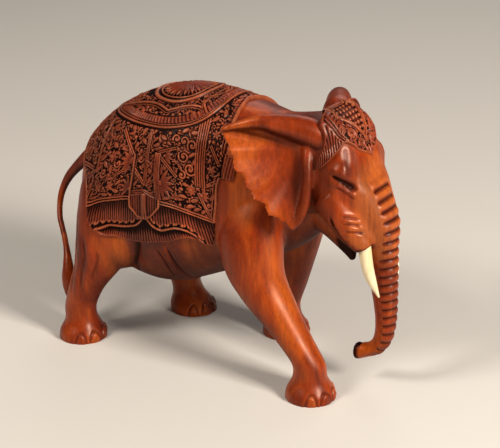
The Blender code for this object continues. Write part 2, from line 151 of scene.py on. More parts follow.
EAR_OUTLINE = [
    (81, -41.5, 113.5), (74, -44, 120), (69, -46, 121.5), (65, -47.5, 128.5), (60, -48.5, 131),
    (55, -49, 136), (50.5, -49.5, 145), (45, -50, 150.5), (41.5, -49.5, 161), (34, -47, 171.5),
    (46, -43, 175), (57, -37.5, 177), (69, -29.5, 175.5), (80, -22, 171), (82, -24, 162),
    (83, -28, 154), (86.5, -32, 141), (86, -36, 128), (84, -39, 119),
]
EAR_LOBE_AMPLITUDE = 0.9
EAR_LOBE_WIDTH = 19.0
EAR_FIRST_NOTCH = -99.0
# The left ear's upper edge dips between a long front roll and a small rear one.
LEFT_EAR_TOP = [(34, -47, 171.5), (43, -44, 175), (50.5, -41, 166), (58, -37, 174)]
LEFT_EAR_FLARE = 27.0
LEFT_EAR_DROOP = 8.0

TUSK_LINE = [
    (118.7, -16.5, 101, 1.0), (121, -16.2, 89, 0.9), (124, -15, 79, 0.66), (127.2, -12.2, 69.2, 0.14),
]

# Cuts in the body, as lines of x, y and z; those off the middle are repeated on the other side.
EYE_SLIT = [
    (98.5, -27, 148.6), (103.4, -27.8, 147.2), (107.4, -26.6, 145), (110.6, -23.4, 142.4),
    (114.5, -18, 138.4),
]
MOUTH = [(100.5, -27, 124), (102.5, -27, 117), (105, -26, 110), (109.5, -23.5, 103.5), (114, -20, 99)]
NOSTRIL = [(103.5, 0, 28.5), (107, 0, 28.6), (111, 0, 28.4)]
HAUNCH_FOLD = [(-29, -49, 88), (-31, -46, 82), (-35, -42, 71), (-42, -34, 58), (-44, -26, 50)]
STRAP_REAR = [
    (-17, -46, 86), (-16.5, -45, 80), (-14, -39, 70), (-15, -27, 55), (-15, -12, 49), (-15, 0, 48),
]
STRAP_FRONT = [
    (-9, -47, 88), (-9, -46, 84), (-8, -40, 75), (-6, -23, 55), (-5, -10, 49), (-5, 0, 48),
]
# Folds down each haunch: x and z at the top, then x and z at the foot.
HIND_LEG_FOLDS = [(-84, 98, -87, 34), (-78, 92, -83, 30), (-71, 80, -78, 36), (-63, 72, -71, 44)]
# The toenails' angles round the front of a foot, in degrees.
TOE_ANGLES = (-58, -20, 18, 55)
# Where the trunk's rolls start and stop along its centre line, and how far apart they are.
ROLLS_START = 11.0
ROLLS_STOP = 128.0
ROLL_PITCH = 5.6

# The saddle cloth in cloth coordinates: x, and v, the distance round the girth from the spine.
CLOTH_GRID = 0.36
CLOTH_DROP = 120
CLOTH_OUTLINE = [
    (-88, 0), (-87, 15), (-84.5, 32), (-82, 41), (-78, 51), (-73.5, 63), (-71, 73), (-70, 82),
    (-66.5, 92), (-62, 99), (-56, 105.5), (-46, 111.5), (-38, 115), (-24, 118), (-8, 116), (3, 110.5),
    (9, 108), (14, 108), (19, 110), (23.5, 108), (26, 99), (27.5, 90), (29, 77), (30, 61), (38, 58.5),
    (38, 46), (31, 44), (30.5, 30), (29, 17), (27.5, 6), (26, 0),
]
OVAL_OUTLINE = [
    (-69, 0), (-67, 12), (-60, 22), (-49, 31), (-37, 37.5), (-23, 41.5), (-10, 41.5), (3, 36.5),
    (12, 28), (17, 15), (18, 0),
]

# Heights in the relief, from the cloth's face: its ground, and the feet of leaves and stems.
GROUND = -1.05
LEAF_FOOT = -1.2
STEM_FOOT = -1.3
PETAL_TOP = 0.15
LOWEST = -9
# The cloth's face over the skin, the level where a shell starts to show, and how far it is sunk.
CLOTH_RAISE = 1.8
SHELL_FLOOR = -1.4
SHELL_SUNK = 0.8
LEAF_STEPS = 6
NOISE_CELLS = 97
FILLING_TRIES = 1300
HATCH_SPACING = 1.85
DROP_SPACING = 5.2

# The cloth's bands, flowers and edges, in cloth coordinates of the right side.
BANDS = [
    [(-12, 59), (2, 69)], [(-13.5, 57), (-6, 54), (-1.5, 52)], [(17, 73.5), (25.5, 88)],
    [(18.5, 70.5), (28, 62.5)], [(20.5, 43.5), (28, 52)], [(-30, 67), (-20.5, 78)],
    [(-30, 63.5), (-21.5, 57.5)], [(-20, 78), (-13.5, 74)], [(-31.5, 59), (-36, 53), (-45, 40)],
    [(-60, 26), (-62, 44), (-62.5, 61)], [(-47, 69.5), (-40, 67.5), (-32.5, 66.5)],
    [(-70, 73), (-66, 62)], [(-81, 42), (-67, 56)], [(-31.5, 82), (-21, 81.5), (-12, 85)],
]
TRIPLE_BAND = [(11, 28), (13, 38), (15, 50), (16.5, 60), (18, 70)]
RIBBON_REAR_EDGE = [(-31, 58), (-30.6, 66), (-31, 73), (-32, 80), (-32.4, 85)]
RIBBON_FRONT_EDGE = [(-13.5, 57), (-12.8, 66), (-12, 75), (-10.8, 82), (-9.8, 88)]
RIBBON_MIDDLE = [(-22.5, 40), (-21.2, 60), (-20.7, 70), (-20.3, 78)]
# Flowers: centre, first and last petal's angle, petals, petal length and width, heart's radius.
FLOWERS = [
    ((-33.2, 61.8), 118, 250, 6, 9.5, 2.7, 2.9), ((-33, 79.5), 150, 262, 5, 8.5, 2.5, 1.6),
    ((-9.4, 75.3), -64, 72, 6, 10.5, 3.0, 2.4), ((-8.5, 58.2), -50, 40, 4, 6.6, 2.2, 1.2),
    ((12.2, 73.6), 0, 315, 8, 3.7, 1.9, 1.3), ((19.3, 74.5), -70, 40, 4, 5.2, 2.1, 1.4),
    ((-50, 74.5), 0, 300, 6, 3.9, 2.0, 1.1), ((-61, 72), 0, 300, 6, 3.7, 1.9, 1.1),
    ((-50, 56), 20, 340, 6, 4.0, 2.1, 1.1), ((-73, 57), 0, 300, 5, 3.4, 1.9, 1.0),
    ((24, 57), 0, 300, 6, 3.3, 1.7, 1.0), ((22, 36), 0, 300, 6, 3.4, 1.8, 1.1),
    ((2, 82.5), 180, 350, 5, 4.8, 2.1, 1.2), ((-26, 72), 30, 210, 4, 4.0, 1.8, 1.0),
    ((-17.5, 64), -60, 200, 5, 4.2, 1.9, 1.0),
]
SCROLLS = [
    ((4.5, 55.5), 200, -1.3, 3.9), ((10, 61.5), 30, 1.3, 3.9), ((8.5, 47.5), 120, 1.2, 3.6),
    ((2.5, 46.5), 10, -1.1, 3.0), ((5, 66.5), 250, 1.1, 3.0), ((24, 80), 160, -1.1, 2.8),
    ((-56.5, 64), 40, 1.2, 3.2), ((-44, 62), 200, -1.1, 2.8), ((-69, 67), 100, 1.1, 2.6),
    ((-25.5, 61.5), 0, 1.0, 2.4), ((-3, 46.5), 150, 1.1, 2.8),
]
# Leaves: foot, angle, length, width and how far they bend.
LEAVES = [
    ((4, 80), -20, 6, 2.6, 40), ((9, 86), -35, 7, 2.8, 30), ((14, 86.5), -40, 6, 2.6, 30),
    ((19, 87), -60, 5, 2.4, 30), ((12, 80.5), -10, 6, 2.8, -40), ((-8, 85.5), -25, 7, 2.6, 20),
    ((-29.5, 78.5), -60, 7, 2.6, 30), ((-28, 83), 0, 6.5, 1.8, 0), ((-18.5, 76), -70, 5, 2.2, 40),
    ((-17, 83), -15, 5, 2.0, -20), ((-16, 72), -60, 5, 2.4, 30), ((24.5, 76), -60, 8, 2.8, 20),
    ((22, 68), -40, 5, 2.2, 30), ((8, 55), -60, 7, 2.4, 60), ((12.5, 54), 100, 8, 2.2, 40),
    ((1, 60.5), 30, 6, 2.2, 50), ((6, 71), 20, 5, 2.4, -30), ((-42, 80.5), 200, 7, 2.6, 25),
    ((-52, 80), 200, 7, 2.4, 20), ((-62, 77.5), 195, 6, 2.2, 20), ((-40, 73.5), 170, 6, 2.5, -30),
    ((-44, 56), 215, 6, 2.4, -30), ((-54, 50), 225, 6, 2.4, 30),
]
# The oval pad's ridges.
SCALLOPS = [
    [(-57, 0), (-58.5, 7), (-62, 12.5)],
    [(-62, 12.5), (-56, 15.5), (-48, 18.6), (-40, 20.6), (-32, 22.8), (-25, 25.5), (-17, 29.6)],
    [(-17, 29.6), (-12, 27.6), (-7, 25), (-1, 22.8), (5, 22.6), (9, 24.6)],
    [(9, 24.6), (4.5, 19.5), (4, 15), (5.5, 11), (8.5, 6), (9.5, 0)],
]
SCALLOP_STEP = (-0.4, 2.0)
PAD_INNER_RIM = [
    (1.5, 0), (1, 5), (-1, 11), (-4.5, 17), (-9, 20.7), (-15, 22.4), (-21, 22), (-28, 19.4), (-34, 15),
    (-38.5, 8), (-40, 0),
]
PAD_THIN_RIM = [
    (-2.5, 0), (-3.5, 8), (-7, 15), (-12, 18.2), (-19, 18.8), (-26, 16.6), (-32, 11.8), (-35.5, 6),
    (-36.5, 0),
]
PAD_HEART = (-18, 0)
PAD_BEADS = [
    (-12, 32.3, 1.3), (-7.5, 31.2, 1.3), (-3, 29.5, 1.3), (1.5, 27.6, 1.2), (13, 4.6, 1.4),
    (13, 9.5, 1.1), (12.5, 14, 1.6), (10.5, 19, 1.2), (-37, 28.5, 2.4), (-31, 29, 1.4), (-43, 26, 1.4),
    (-25, 31.5, 1.3), (-49, 23, 1.2), (-61, 4.5, 1.4), (-62.5, 0, 1.2),
]
# The lower border, the fold between the two fringes, and the hem.
BORDER_REAR = [(-71.5, 76), (-66, 79), (-60, 80.8), (-50, 83.4), (-43, 84.6), (-32.5, 85.5)]
BORDER_FRONT = [(-9.8, 88), (0, 88), (12, 88.6), (28, 89)]
TIER_REAR = [
    (-63, 96), (-57, 99.5), (-50, 101.6), (-42, 104), (-36, 105), (-30, 105), (-26.5, 103.6),
    (-23.8, 101.4), (-21.6, 98.6),
]
TIER_FRONT = [
    (-20.6, 98.6), (-18, 101.6), (-15, 105), (-10, 107), (-6, 105.8), (0, 103.2), (6, 102.4),
    (10, 102.8), (14, 104.6), (18, 108.5),
]
BORDER_LINE = ([-90, -72, -66, -60, -50, -43, -32, -9.8, 0, 12, 40],
               [74, 75.5, 79, 80.8, 83.4, 84.6, 85.5, 88, 88, 88.6, 89])
TIER_LINE = ([-72, -63, -57, -50, -42, -36, -30, -26, -21, -17, -15, -10, -6, 0, 6, 10, 14, 18, 27],
             [92, 96, 99.5, 101.6, 104, 105, 105, 103, 101.5, 101, 104.5, 107, 105.8, 103.2, 102.4,
              102.8, 104.6, 108.5, 116])
HEM_LINE = ([-66, -62, -56, -46, -38, -24, -8, 3, 9, 14, 19, 25],
            [92, 99, 105.5, 111.5, 115, 118, 116, 110.5, 108, 108, 110, 104])
KNOT_REAR = [(-32.4, 84), (-32, 91.5), (-28.6, 95), (-25.8, 98.6), (-22.6, 99), (-21.8, 92), (-22, 83.5)]
KNOT_FRONT = [(-20.2, 83.5), (-20, 92), (-19.4, 99), (-16.6, 98.4), (-13, 94.6), (-10, 91), (-9.8, 86)]

# The headdress in its own coordinates: p, the distance up from the forehead over the crown, and
# q, the distance to the side, both measured on a ball round a point inside the head.
HEAD_CENTRE = (86, 0, 145)
HEAD_BALL = 30.0
HEADDRESS_GRID = 0.33
HEADDRESS_OUTLINE = [
    (10.5, 0), (13, 3), (15.5, 7.5), (18.5, 11.6), (23, 14), (26.3, 17), (25.0, 21), (23.6, 26),
    (22.6, 31), (22.6, 35.5), (24.4, 38.4), (28.0, 38.4), (32.0, 35), (35.0, 30.5), (37.0, 26),
    (39.5, 22.5), (44.0, 20), (47, 15), (48.6, 8), (49, 0),
]
DROP_PANEL = [
    (23.5, 0), (27.5, 3), (31.5, 5.5), (35, 7.8), (38.5, 9.8), (42, 11), (45, 10.4), (46.2, 6),
    (46.4, 0),
]
SHELLS = [((21.6, 7.2), 200, 1.1, 3.9), ((28.6, 11.2), 190, 1.1, 3.7), ((34, 15), 180, 1.0, 3.1)]
HEADDRESS_LEAVES = [
    ((24, 1.6), 215, 6, 2.6, 0.3, 20), ((17.5, 0), 180, 7, 3.4, 0.35),
    ((18.5, 3.5), 200, 5.5, 2.2, 0.2, -30), ((24.5, 10.5), 150, 5, 2.2, 0.2, 30),
    ((31.5, 9.8), 60, 4, 1.8, 0.1),
]
# How far the crown of the headdress rises over the skin, from the forehead to its back edge.
CROWN_RISE = ([20, 25, 30, 35, 39, 43], [0, 0.7, 2.0, 3.2, 3.9, 4.2])


def catmull_rom(rows, steps):
    """The rows with smooth in-between rows, as an array."""
    rows = np.array(rows, float)
    padded = np.vstack([2 * rows[0] - rows[1], rows, 2 * rows[-1] - rows[-2]])
    out = []
    for a, b, c, d in zip(padded, padded[1:], padded[2:], padded[3:]):
        for t in np.arange(steps) / steps:
            square, cube = (2 * a - 5 * b + 4 * c - d) * t**2, (3 * b - a - 3 * c + d) * t**3
            out.append(0.5 * (2 * b + (c - a) * t + square + cube))
    return np.array(out + [rows[-1]])


def close_rings(mesh, rings):
    """Joins rings of vertices into a skin, and closes both ends."""
    count = len(rings[0])
    for one, other in zip(rings, rings[1:]):
        for i in range(count):
            j = (i + 1) % count
            mesh.faces.new((one[i], one[j], other[j], other[i]))
    mesh.faces.new(rings[0][::-1])
    mesh.faces.new(rings[-1])


def skin(mesh, stations):
    """Adds a closed skin through the stations of a limb to the bmesh."""
    turns = np.arange(RING_POINTS) * 2 * math.pi / RING_POINTS
    cosines, sines = np.cos(turns), np.sin(turns)
    rings = []
    rows = catmull_rom(stations, STEPS_BETWEEN_STATIONS)
    for x, y, z, pitch, half_width, outer, inner, squareness in rows:
        p = math.radians(pitch)
        across = half_width * np.sign(cosines) * np.abs(cosines) ** (2 / squareness)
        reach = np.sign(sines) * np.abs(sines) ** (2 / squareness)
        reach *= np.where(sines > 0, outer, inner)
        rings.append([mesh.verts.new((x - math.sin(p) * r, y + a, z + math.cos(p) * r))
                      for a, r in zip(across, reach)])
    close_rings(mesh, rings)


def tube(mesh, rows, ring=28):
    """Adds a closed round tube to the bmesh through rows of x, y, z and radius."""
    centres, radii = rows[:, :3], rows[:, 3]
    rings = []
    side = Vector((0, 1, 0))
    for centre, radius, tangent in zip(centres, radii, np.gradient(centres, axis=0)):
        forward = Vector(tangent).normalized()
        side = (side - forward * side.dot(forward)).normalized()
        other = forward.cross(side)
        points = []
        for i in range(ring):
            turn = 2 * math.pi * i / ring
            offset = (side * math.cos(turn) + other * math.sin(turn)) * radius
            points.append(mesh.verts.new(Vector(centre) + offset))
        rings.append(points)
    close_rings(mesh, rings)


def smooth_tube(mesh, rows, side=-1):
    """A tube through smoothed rows, given for the right side and mirrored for side 1."""
    tube(mesh, catmull_rom(sided(rows, side), STEPS_BETWEEN_STATIONS))


def lump(mesh, centre, radii, turn=0.0):
    """Adds an ellipsoid, turned in degrees about Y."""
    turned = Matrix.Translation(centre) @ Matrix.Rotation(math.radians(turn), 4, "Y")
    matrix = turned @ Matrix.Diagonal((*radii, 1))
    bmesh.ops.create_icosphere(mesh, subdivisions=5, radius=1, matrix=matrix)


def sided(rows, side):
    """The right side's rows for side -1, and their mirror image for side 1."""
    return np.array([(row[0], -side * row[1], *row[2:]) for row in rows])


def torso_stations():
    """The torso's rows as stations of a limb along X."""
    rows = []
    for x, top, bottom, width, squareness in TORSO:
        half = (top - bottom) / 2
        rows.append((x, 0, bottom + half, 0, width, half, half, squareness))
    return rows


def leg_stations(upper, foot):
    """The upper leg's stations, then the ankle and the flared foot."""
    x, y, ankle_back = FEET[foot]
    ankle = (x - ankle_back, y, ANKLE_HEIGHT, -90, ANKLE_RADIUS, ANKLE_RADIUS, ANKLE_RADIUS, 2)
    foot_rows = []
    for z, share in FOOT_SHAPE:
        radius = FOOT_RADIUS * share
        back = ankle_back * z / ANKLE_HEIGHT
        foot_rows.append((x - back, y, z, -90, radius, radius, radius * 0.94, 2))
    return upper + [ankle] + foot_rows


def ear_depth(dx, dz, t):
    """How far a point of the ear's sheet stands out at share t of the way to its edge."""
    angle = math.degrees(math.atan2(dz, dx))
    lobe = -math.cos(2 * math.pi * (angle - EAR_FIRST_NOTCH) / EAR_LOBE_WIDTH)
    lower = 1 if abs(angle) > abs(EAR_FIRST_NOTCH) - EAR_LOBE_WIDTH else 0
    return EAR_LOBE_AMPLITUDE * lobe * lower * t**2


def left_ear_turn():
    """How the left ear stands out further than the right one."""
    turn = Matrix.Rotation(math.radians(-LEFT_EAR_FLARE), 3, "Z")
    return turn @ Matrix.Rotation(math.radians(-LEFT_EAR_DROOP), 3, "Y")


def add_ear(mesh, side):
    """One ear: a cupped sheet between its hub and outline, with a rolled rim and front edge."""
    before = set(mesh.verts)
    hub = Vector(EAR_HUB)

    def pair(x, y, z, half):
        """The points of the outer and the inner face at one place of the sheet."""
        return [mesh.verts.new((x, -side * (y + away), z)) for away in (-half, half)]

    rows = EAR_OUTLINE if side == -1 else EAR_OUTLINE[:9] + LEFT_EAR_TOP + EAR_OUTLINE[12:]
    outline = catmull_rom(rows + rows[:1], 6)[:-1]
    spokes = []
    for point in outline:
        reach = Vector(point) - hub
        spoke = []
        for i in range(1, EAR_RINGS + 1):
            t = i / EAR_RINGS
            y = hub.y + reach.y * t**1.7 - ear_depth(reach.x, reach.z, t)
            half = EAR_THICKNESS / 2 * (1.3 - 0.5 * t) * math.sqrt(1.12 - t**8)
            spoke.append(pair(hub.x + reach.x * t, y, hub.z + reach.z * t, half))
        spokes.append(list(zip(*spoke)))
    outer_hub, inner_hub = pair(hub.x, hub.y, hub.z, EAR_THICKNESS * 0.65)
    for (outer, inner), (next_outer, next_inner) in zip(spokes, spokes[1:] + spokes[:1]):
        mesh.faces.new((outer_hub, outer[0], next_outer[0]))
        mesh.faces.new((inner_hub, next_inner[0], inner[0]))
        for one, other, turn in ((outer, next_outer, 1), (inner, next_inner, -1)):
            for i in range(EAR_RINGS - 1):
                mesh.faces.new((one[i], one[i + 1], other[i + 1], other[i])[::turn])
        mesh.faces.new((outer[-1], inner[-1], next_inner[-1], next_outer[-1]))
    smooth_tube(mesh, EAR_RIM if side == -1 else LEFT_EAR_RIM, side)
    smooth_tube(mesh, EAR_FRONT_EDGE, side)
    if side == 1:
        ear = [vertex for vertex in mesh.verts if vertex not in before]
        bmesh.ops.rotate(mesh, cent=(hub.x, -hub.y, hub.z), matrix=left_ear_turn(), verts=ear)


def linked(name, data):
    """A new object of the scene that shows the data."""
    made = bpy.data.objects.new(name, data)
    bpy.context.scene.collection.objects.link(made)
    return made


def object_from(mesh, name):
    """An object that holds the bmesh's shape, in millimetres."""
    bmesh.ops.recalc_face_normals(mesh, faces=mesh.faces)
    data = bpy.data.meshes.new(name)
    mesh.to_mesh(data)
    mesh.free()
    return linked(name, data)


def applied(obj):
    """Replaces the object's mesh with what its modifiers make, and drops them."""
    bpy.context.view_layer.update()
    graph = bpy.context.evaluated_depsgraph_get()
    data = bpy.data.meshes.new_from_object(obj.evaluated_get(graph))
    obj.modifiers.clear()
    old = obj.data
    obj.data = data
    bpy.data.meshes.remove(old)


def merge_and_soften(obj, smoothing):
    """Makes one skin of the object's overlapping shapes and rounds their joins."""
    remesh = obj.modifiers.new("one_skin", "REMESH")
    remesh.mode = "VOXEL"
    remesh.voxel_size = VOXEL
    smooth = obj.modifiers.new("soften", "SMOOTH")
    smooth.factor = 0.5
    smooth.iterations = smoothing
    applied(obj)


def make_mass():
    """Torso, legs, head and trunk as one softened mass."""
    mesh = bmesh.new()
    skin(mesh, torso_stations())
    skin(mesh, HEAD_AND_TRUNK)
    for foot, upper in LEGS.items():
        skin(mesh, leg_stations(upper, foot))
    for side in (-1, 1):
        smooth_tube(mesh, CHEEK, side)
        smooth_tube(mesh, MUZZLE, side)
        lump(mesh, (102, side * 21.5, 146), (8, 6.5, 12), 20)
    lump(mesh, (-59, -31, 79), (27, 17.5, 26))
    lump(mesh, (-53, 31, 82), (26, 17, 26))
    mass = object_from(mesh, "mass")
    merge_and_soften(mass, 15)
    return mass


def add_thin_parts(mass):
    """The body with its ears, tail and jaw, which take less softening than the mass."""
    mesh = bmesh.new()
    mesh.from_mesh(mass.data)
    for side in (-1, 1):
        add_ear(mesh, side)
    smooth_tube(mesh, TAIL)
    smooth_tube(mesh, JAW)
    body = object_from(mesh, "carved_elephant")
    merge_and_soften(body, 3)
    return body


# ---- Working on a mesh as arrays ----


def get_points(data):
    points = np.empty(len(data.vertices) * 3)
    data.vertices.foreach_get("co", points)
    return points.reshape(-1, 3)


def set_points(data, points):
    data.vertices.foreach_set("co", points.astype(np.float32).ravel())
    data.update()


def get_normals(data):
    normals = np.empty(len(data.vertices) * 3)
    data.vertex_normals.foreach_get("vector", normals)
    return normals.reshape(-1, 3)


def set_attribute(data, name, values):
    attribute = data.attributes.new(name, "FLOAT", "POINT")
    attribute.data.foreach_set("value", values.astype(np.float32))


def smooth_step(values, low, high):
    """A smooth rise from 0 at the low value to 1 at the high one."""
    t = np.clip((values - low) / np.maximum(high - low, 1e-6), 0, 1)
    return t * t * (3 - 2 * t)


def between(values, low, rise, fall, high):
    """1 from the rise to the fall, easing to 0 at the low and the high value."""
    return smooth_step(values, low, rise) * smooth_step(-values, -high, -fall)


def bulge(gap, half):
    """A rounded section: 1 on a line itself, 0 where the gap to it is half or more."""
    return np.clip(1 - (gap / half) ** 2, 0, 1) ** 0.5


def fading(gap, half):
    """A bell-shaped section: 1 on a line itself, fading to nothing on both sides."""
    return np.exp(-((gap / half) ** 2))


def hatching(place, spacing):
    """Fine parallel ridges, 1 on each ridge and 0 in the cuts between them."""
    return np.abs(np.sin(np.pi * place / spacing)) ** 0.6


def running(steps):
    """The running total of the steps, from 0."""
    return np.concatenate([[0], np.cumsum(steps)])


def arc_lengths(line):
    """How far along a polyline each of its points lies."""
    return running(np.linalg.norm(np.diff(line, axis=0), axis=1))


def line_distance(points, line):
    """Distance from each point to a polyline, and the share of the line's length there."""
    line = np.asarray(line, float)
    lengths = np.linalg.norm(np.diff(line, axis=0), axis=1)
    starts = running(lengths)
    best = np.full(len(points), np.inf)
    share = np.zeros(len(points))
    for a, b, length, start in zip(line, line[1:], lengths, starts):
        step = b - a
        t = np.clip(((points - a) @ step) / max(length**2, 1e-9), 0, 1)
        gap = np.linalg.norm(points - a - t[:, None] * step, axis=1)
        nearer = gap < best
        best = np.where(nearer, gap, best)
        share = np.where(nearer, (start + t * length) / starts[-1], share)
    return best, share


def depth_inside(points, outline):
    """How deep each point lies inside a closed outline, below zero outside it."""
    nearest = np.full(len(points), np.inf)
    crossings = np.zeros(len(points), int)
    px, py = points[:, 0], points[:, 1]
    outline = [tuple(point) for point in outline]
    for (ax, ay), (bx, by) in zip(outline, outline[1:] + outline[:1]):
        dx, dy = bx - ax, by - ay
        t = np.clip(((px - ax) * dx + (py - ay) * dy) / (dx * dx + dy * dy), 0, 1)
        nearest = np.minimum(nearest, np.hypot(px - ax - t * dx, py - ay - t * dy))
        if dy:
            crossings += ((ay > py) != (by > py)) & (px < ax + (py - ay) / dy * dx)
    return np.where(crossings % 2 == 1, nearest, -nearest)


def closed(half_outline):
    """The smooth closed outline made by half of it and its mirror image."""
    line = [tuple(point) for point in catmull_rom(half_outline, 3)]
    return line + [(a, -b) for a, b in line[-2:0:-1]]


class Relief:
    """A height map over flat coordinates in millimetres, drawn with ridges, leaves and cuts."""

    def __init__(self, a, b):
        self.a, self.b = np.meshgrid(a, b, indexing="ij")
        self.rows, self.columns = a, b
        self.height = np.full(self.a.shape, GROUND)

    def depth(self, outline):
        """How deep each place of the map lies inside a closed outline."""
        flat = np.stack([self.a.ravel(), self.b.ravel()], axis=1)
        return depth_inside(flat, outline).reshape(self.a.shape)

    def here(self, points, reach):
        """The cells of the map within reach of the points, and their places."""
        points = np.asarray(points, float)
        low, high = points.min(0) - reach, points.max(0) + reach
        cells = (slice(*np.searchsorted(self.rows, (low[0], high[0]))),
                 slice(*np.searchsorted(self.columns, (low[1], high[1]))))
        return cells, np.stack([self.a[cells].ravel(), self.b[cells].ravel()], axis=1)

    def swell(self, cells, gap, half, foot, top, vein=0.0):
        """Raises what lies within half of a line into a rounded form from foot to top."""
        form = np.where(gap < half, foot + (top - foot) * bulge(gap, half) - vein, LOWEST)
        block = self.height[cells]
        self.height[cells] = np.maximum(block, form.reshape(block.shape))

    def rim(self, inside, depth, half, top, where=True):
        """A ridge round a shape, at a depth inside its outline."""
        gap = np.abs(inside - depth)
        ring = GROUND + (top - GROUND) * bulge(gap, half)
        self.height = np.where((gap < half) & where, np.maximum(self.height, ring), self.height)

    def groove(self, line, half, depth):
        """A V-shaped cut along a polyline."""
        cells, flat = self.here(line, half * 3)
        gap, _ = line_distance(flat, line)
        self.height[cells] -= depth * fading(gap.reshape(self.height[cells].shape), half)

    def rails(self, line, offsets, half, top, cleared):
        """Ridges side by side along a polyline, on ground that is cleared round them."""
        cells, flat = self.here(line, max(cleared, max(offsets) + half))
        gap, share = line_distance(flat, line)
        block = self.height[cells]
        gap = np.where((share > 0) & (share < 1), gap, np.inf).reshape(block.shape)
        if cleared:
            bare = GROUND + (block - GROUND) * smooth_step(gap, cleared - 0.4, cleared)
            block = np.minimum(block, bare)
        for offset in offsets:
            away = np.abs(gap - offset)
            ridge = GROUND + (top - GROUND) * bulge(away, half)
            block = np.where(away < half, np.maximum(block, ridge), block)
        self.height[cells] = block

    def leaf(self, foot, angle, length, width, top=0.1, bend=0.0):
        """A pointed leaf with a cut along its middle, from its foot, with an angle in degrees."""
        turns = math.radians(angle) + math.radians(bend) * np.linspace(0, 1, LEAF_STEPS + 1)
        da, db = (running(way(turns[:-1])) * length / LEAF_STEPS for way in (np.cos, np.sin))
        line = np.stack([foot[0] + da, foot[1] + db], axis=1)
        cells, flat = self.here(line, width)
        gap, share = line_distance(flat, line)
        reach = width / 2 * np.sin(np.pi * np.clip(share, 0.02, 0.98) ** 0.75) ** 0.8 + 0.05
        vein = 0.35 * fading(gap, 0.28) * (share < 0.85)
        self.swell(cells, gap, reach, LEAF_FOOT, top, vein)

    def fan(self, centre, start, stop, count, length, width, heart):
        """Petals round a centre between two angles in degrees, with a domed heart."""
        for angle in np.linspace(start, stop, count):
            a = math.radians(angle)
            foot = (centre[0] + heart * 0.7 * math.cos(a), centre[1] + heart * 0.7 * math.sin(a))
            self.leaf(foot, angle, length - heart * 0.7, width, PETAL_TOP)
        self.bead(centre, heart, PETAL_TOP * 2)

    def bead(self, centre, radius, top):
        """A domed bead."""
        cells, flat = self.here([centre], radius * 1.2)
        gap = np.hypot(flat[:, 0] - centre[0], flat[:, 1] - centre[1])
        self.swell(cells, gap, radius, LEAF_FOOT, top)

    def scroll(self, centre, start, turns, radius, half=0.75, top=0.15):
        """A stem that curls in to a bead at the centre."""
        steps = np.linspace(0, 1, max(8, int(abs(turns) * 14)))
        angles = math.radians(start) + steps * turns * 2 * math.pi
        reach = radius * (1 - 0.8 * steps)
        line = np.stack([centre[0] + reach * np.cos(angles), centre[1] + reach * np.sin(angles)], axis=1)
        cells, flat = self.here(line, half * 1.2)
        gap, _ = line_distance(flat, line)
        self.swell(cells, gap, half, STEM_FOOT, top)
        self.bead(centre, half * 1.3, top + 0.1)


def blurred(grid, radius):
    """The map averaged three times each way, which is close to a Gaussian blur."""
    size = 2 * radius + 1
    for _ in range(6):
        total = np.cumsum(np.pad(grid, ((radius + 1, radius), (0, 0)), mode="edge"), axis=0)
        grid = ((total[size:] - total[:-size]) / size).T
    return grid


def rough(a, b, size, seed):
    """Smooth seeded noise from 0 to 1 over flat coordinates, with features of the given size."""
    cells = np.random.default_rng(seed).random((NOISE_CELLS, NOISE_CELLS))
    u, w = a / size, b / size
    i, j = np.floor(u).astype(int), np.floor(w).astype(int)
    fu, fw = smooth_step(u - i, 0, 1), smooth_step(w - j, 0, 1)
    low, high = (cells[i % NOISE_CELLS, k % NOISE_CELLS] * (1 - fu)
                 + cells[(i + 1) % NOISE_CELLS, k % NOISE_CELLS] * fu for k in (j, j + 1))
    return low * (1 - fw) + high * fw


def stems(a, b, size, seed):
    """Curling stems, 1 along their middles and 0 between them, for filling the ground."""
    field = rough(a, b, size, seed) + 0.45 * rough(a, b, size * 0.5, seed + 1)
    return smooth_step(np.sin(field * 10), -0.15, 0.6)


def shell_over(name, points, normals, height):
    """A closed shell: the grid points raised by the height map, kept where it shows."""
    rows, columns = height.shape
    shown = height > SHELL_FLOOR + 0.02
    keep = shown[:-1, :-1] | shown[1:, :-1] | shown[:-1, 1:] | shown[1:, 1:]
    used = np.zeros(height.shape, bool)
    for di in (0, 1):
        for dj in (0, 1):
            used[di : rows - 1 + di, dj : columns - 1 + dj] |= keep
    count = int(used.sum())
    index = np.full(height.shape, -1)
    index[used] = np.arange(count)
    outer = points[used] + normals[used] * height[used][:, None]
    inner = points[used] + normals[used] * (SHELL_FLOOR - SHELL_SUNK)
    i, j = np.nonzero(keep)
    quads = np.stack([index[i, j], index[i, j + 1], index[i + 1, j + 1], index[i + 1, j]], axis=1)
    # An edge is on the border where no quad runs along it the other way.
    directed = np.concatenate([quads[:, [k, (k + 1) % 4]] for k in range(4)])
    reverse = directed @ (1, count)
    a, b = directed[~np.isin(directed @ (count, 1), reverse)].T
    walls = np.stack([b, a, a + count, b + count], axis=1)
    faces = np.concatenate([quads, quads[:, ::-1] + count, walls])
    vertices = np.concatenate([outer, inner])
    data = bpy.data.meshes.new(name)
    data.vertices.add(len(vertices))
    data.vertices.foreach_set("co", vertices.astype(np.float32).ravel())
    data.loops.add(len(faces) * 4)
    data.loops.foreach_set("vertex_index", faces.astype(np.int32).ravel())
    data.polygons.add(len(faces))
    data.polygons.foreach_set("loop_start", (np.arange(len(faces)) * 4).astype(np.int32))
    data.update(calc_edges=True)
    data.validate()
    return linked(name, data), used


# ---- The body's carving ----


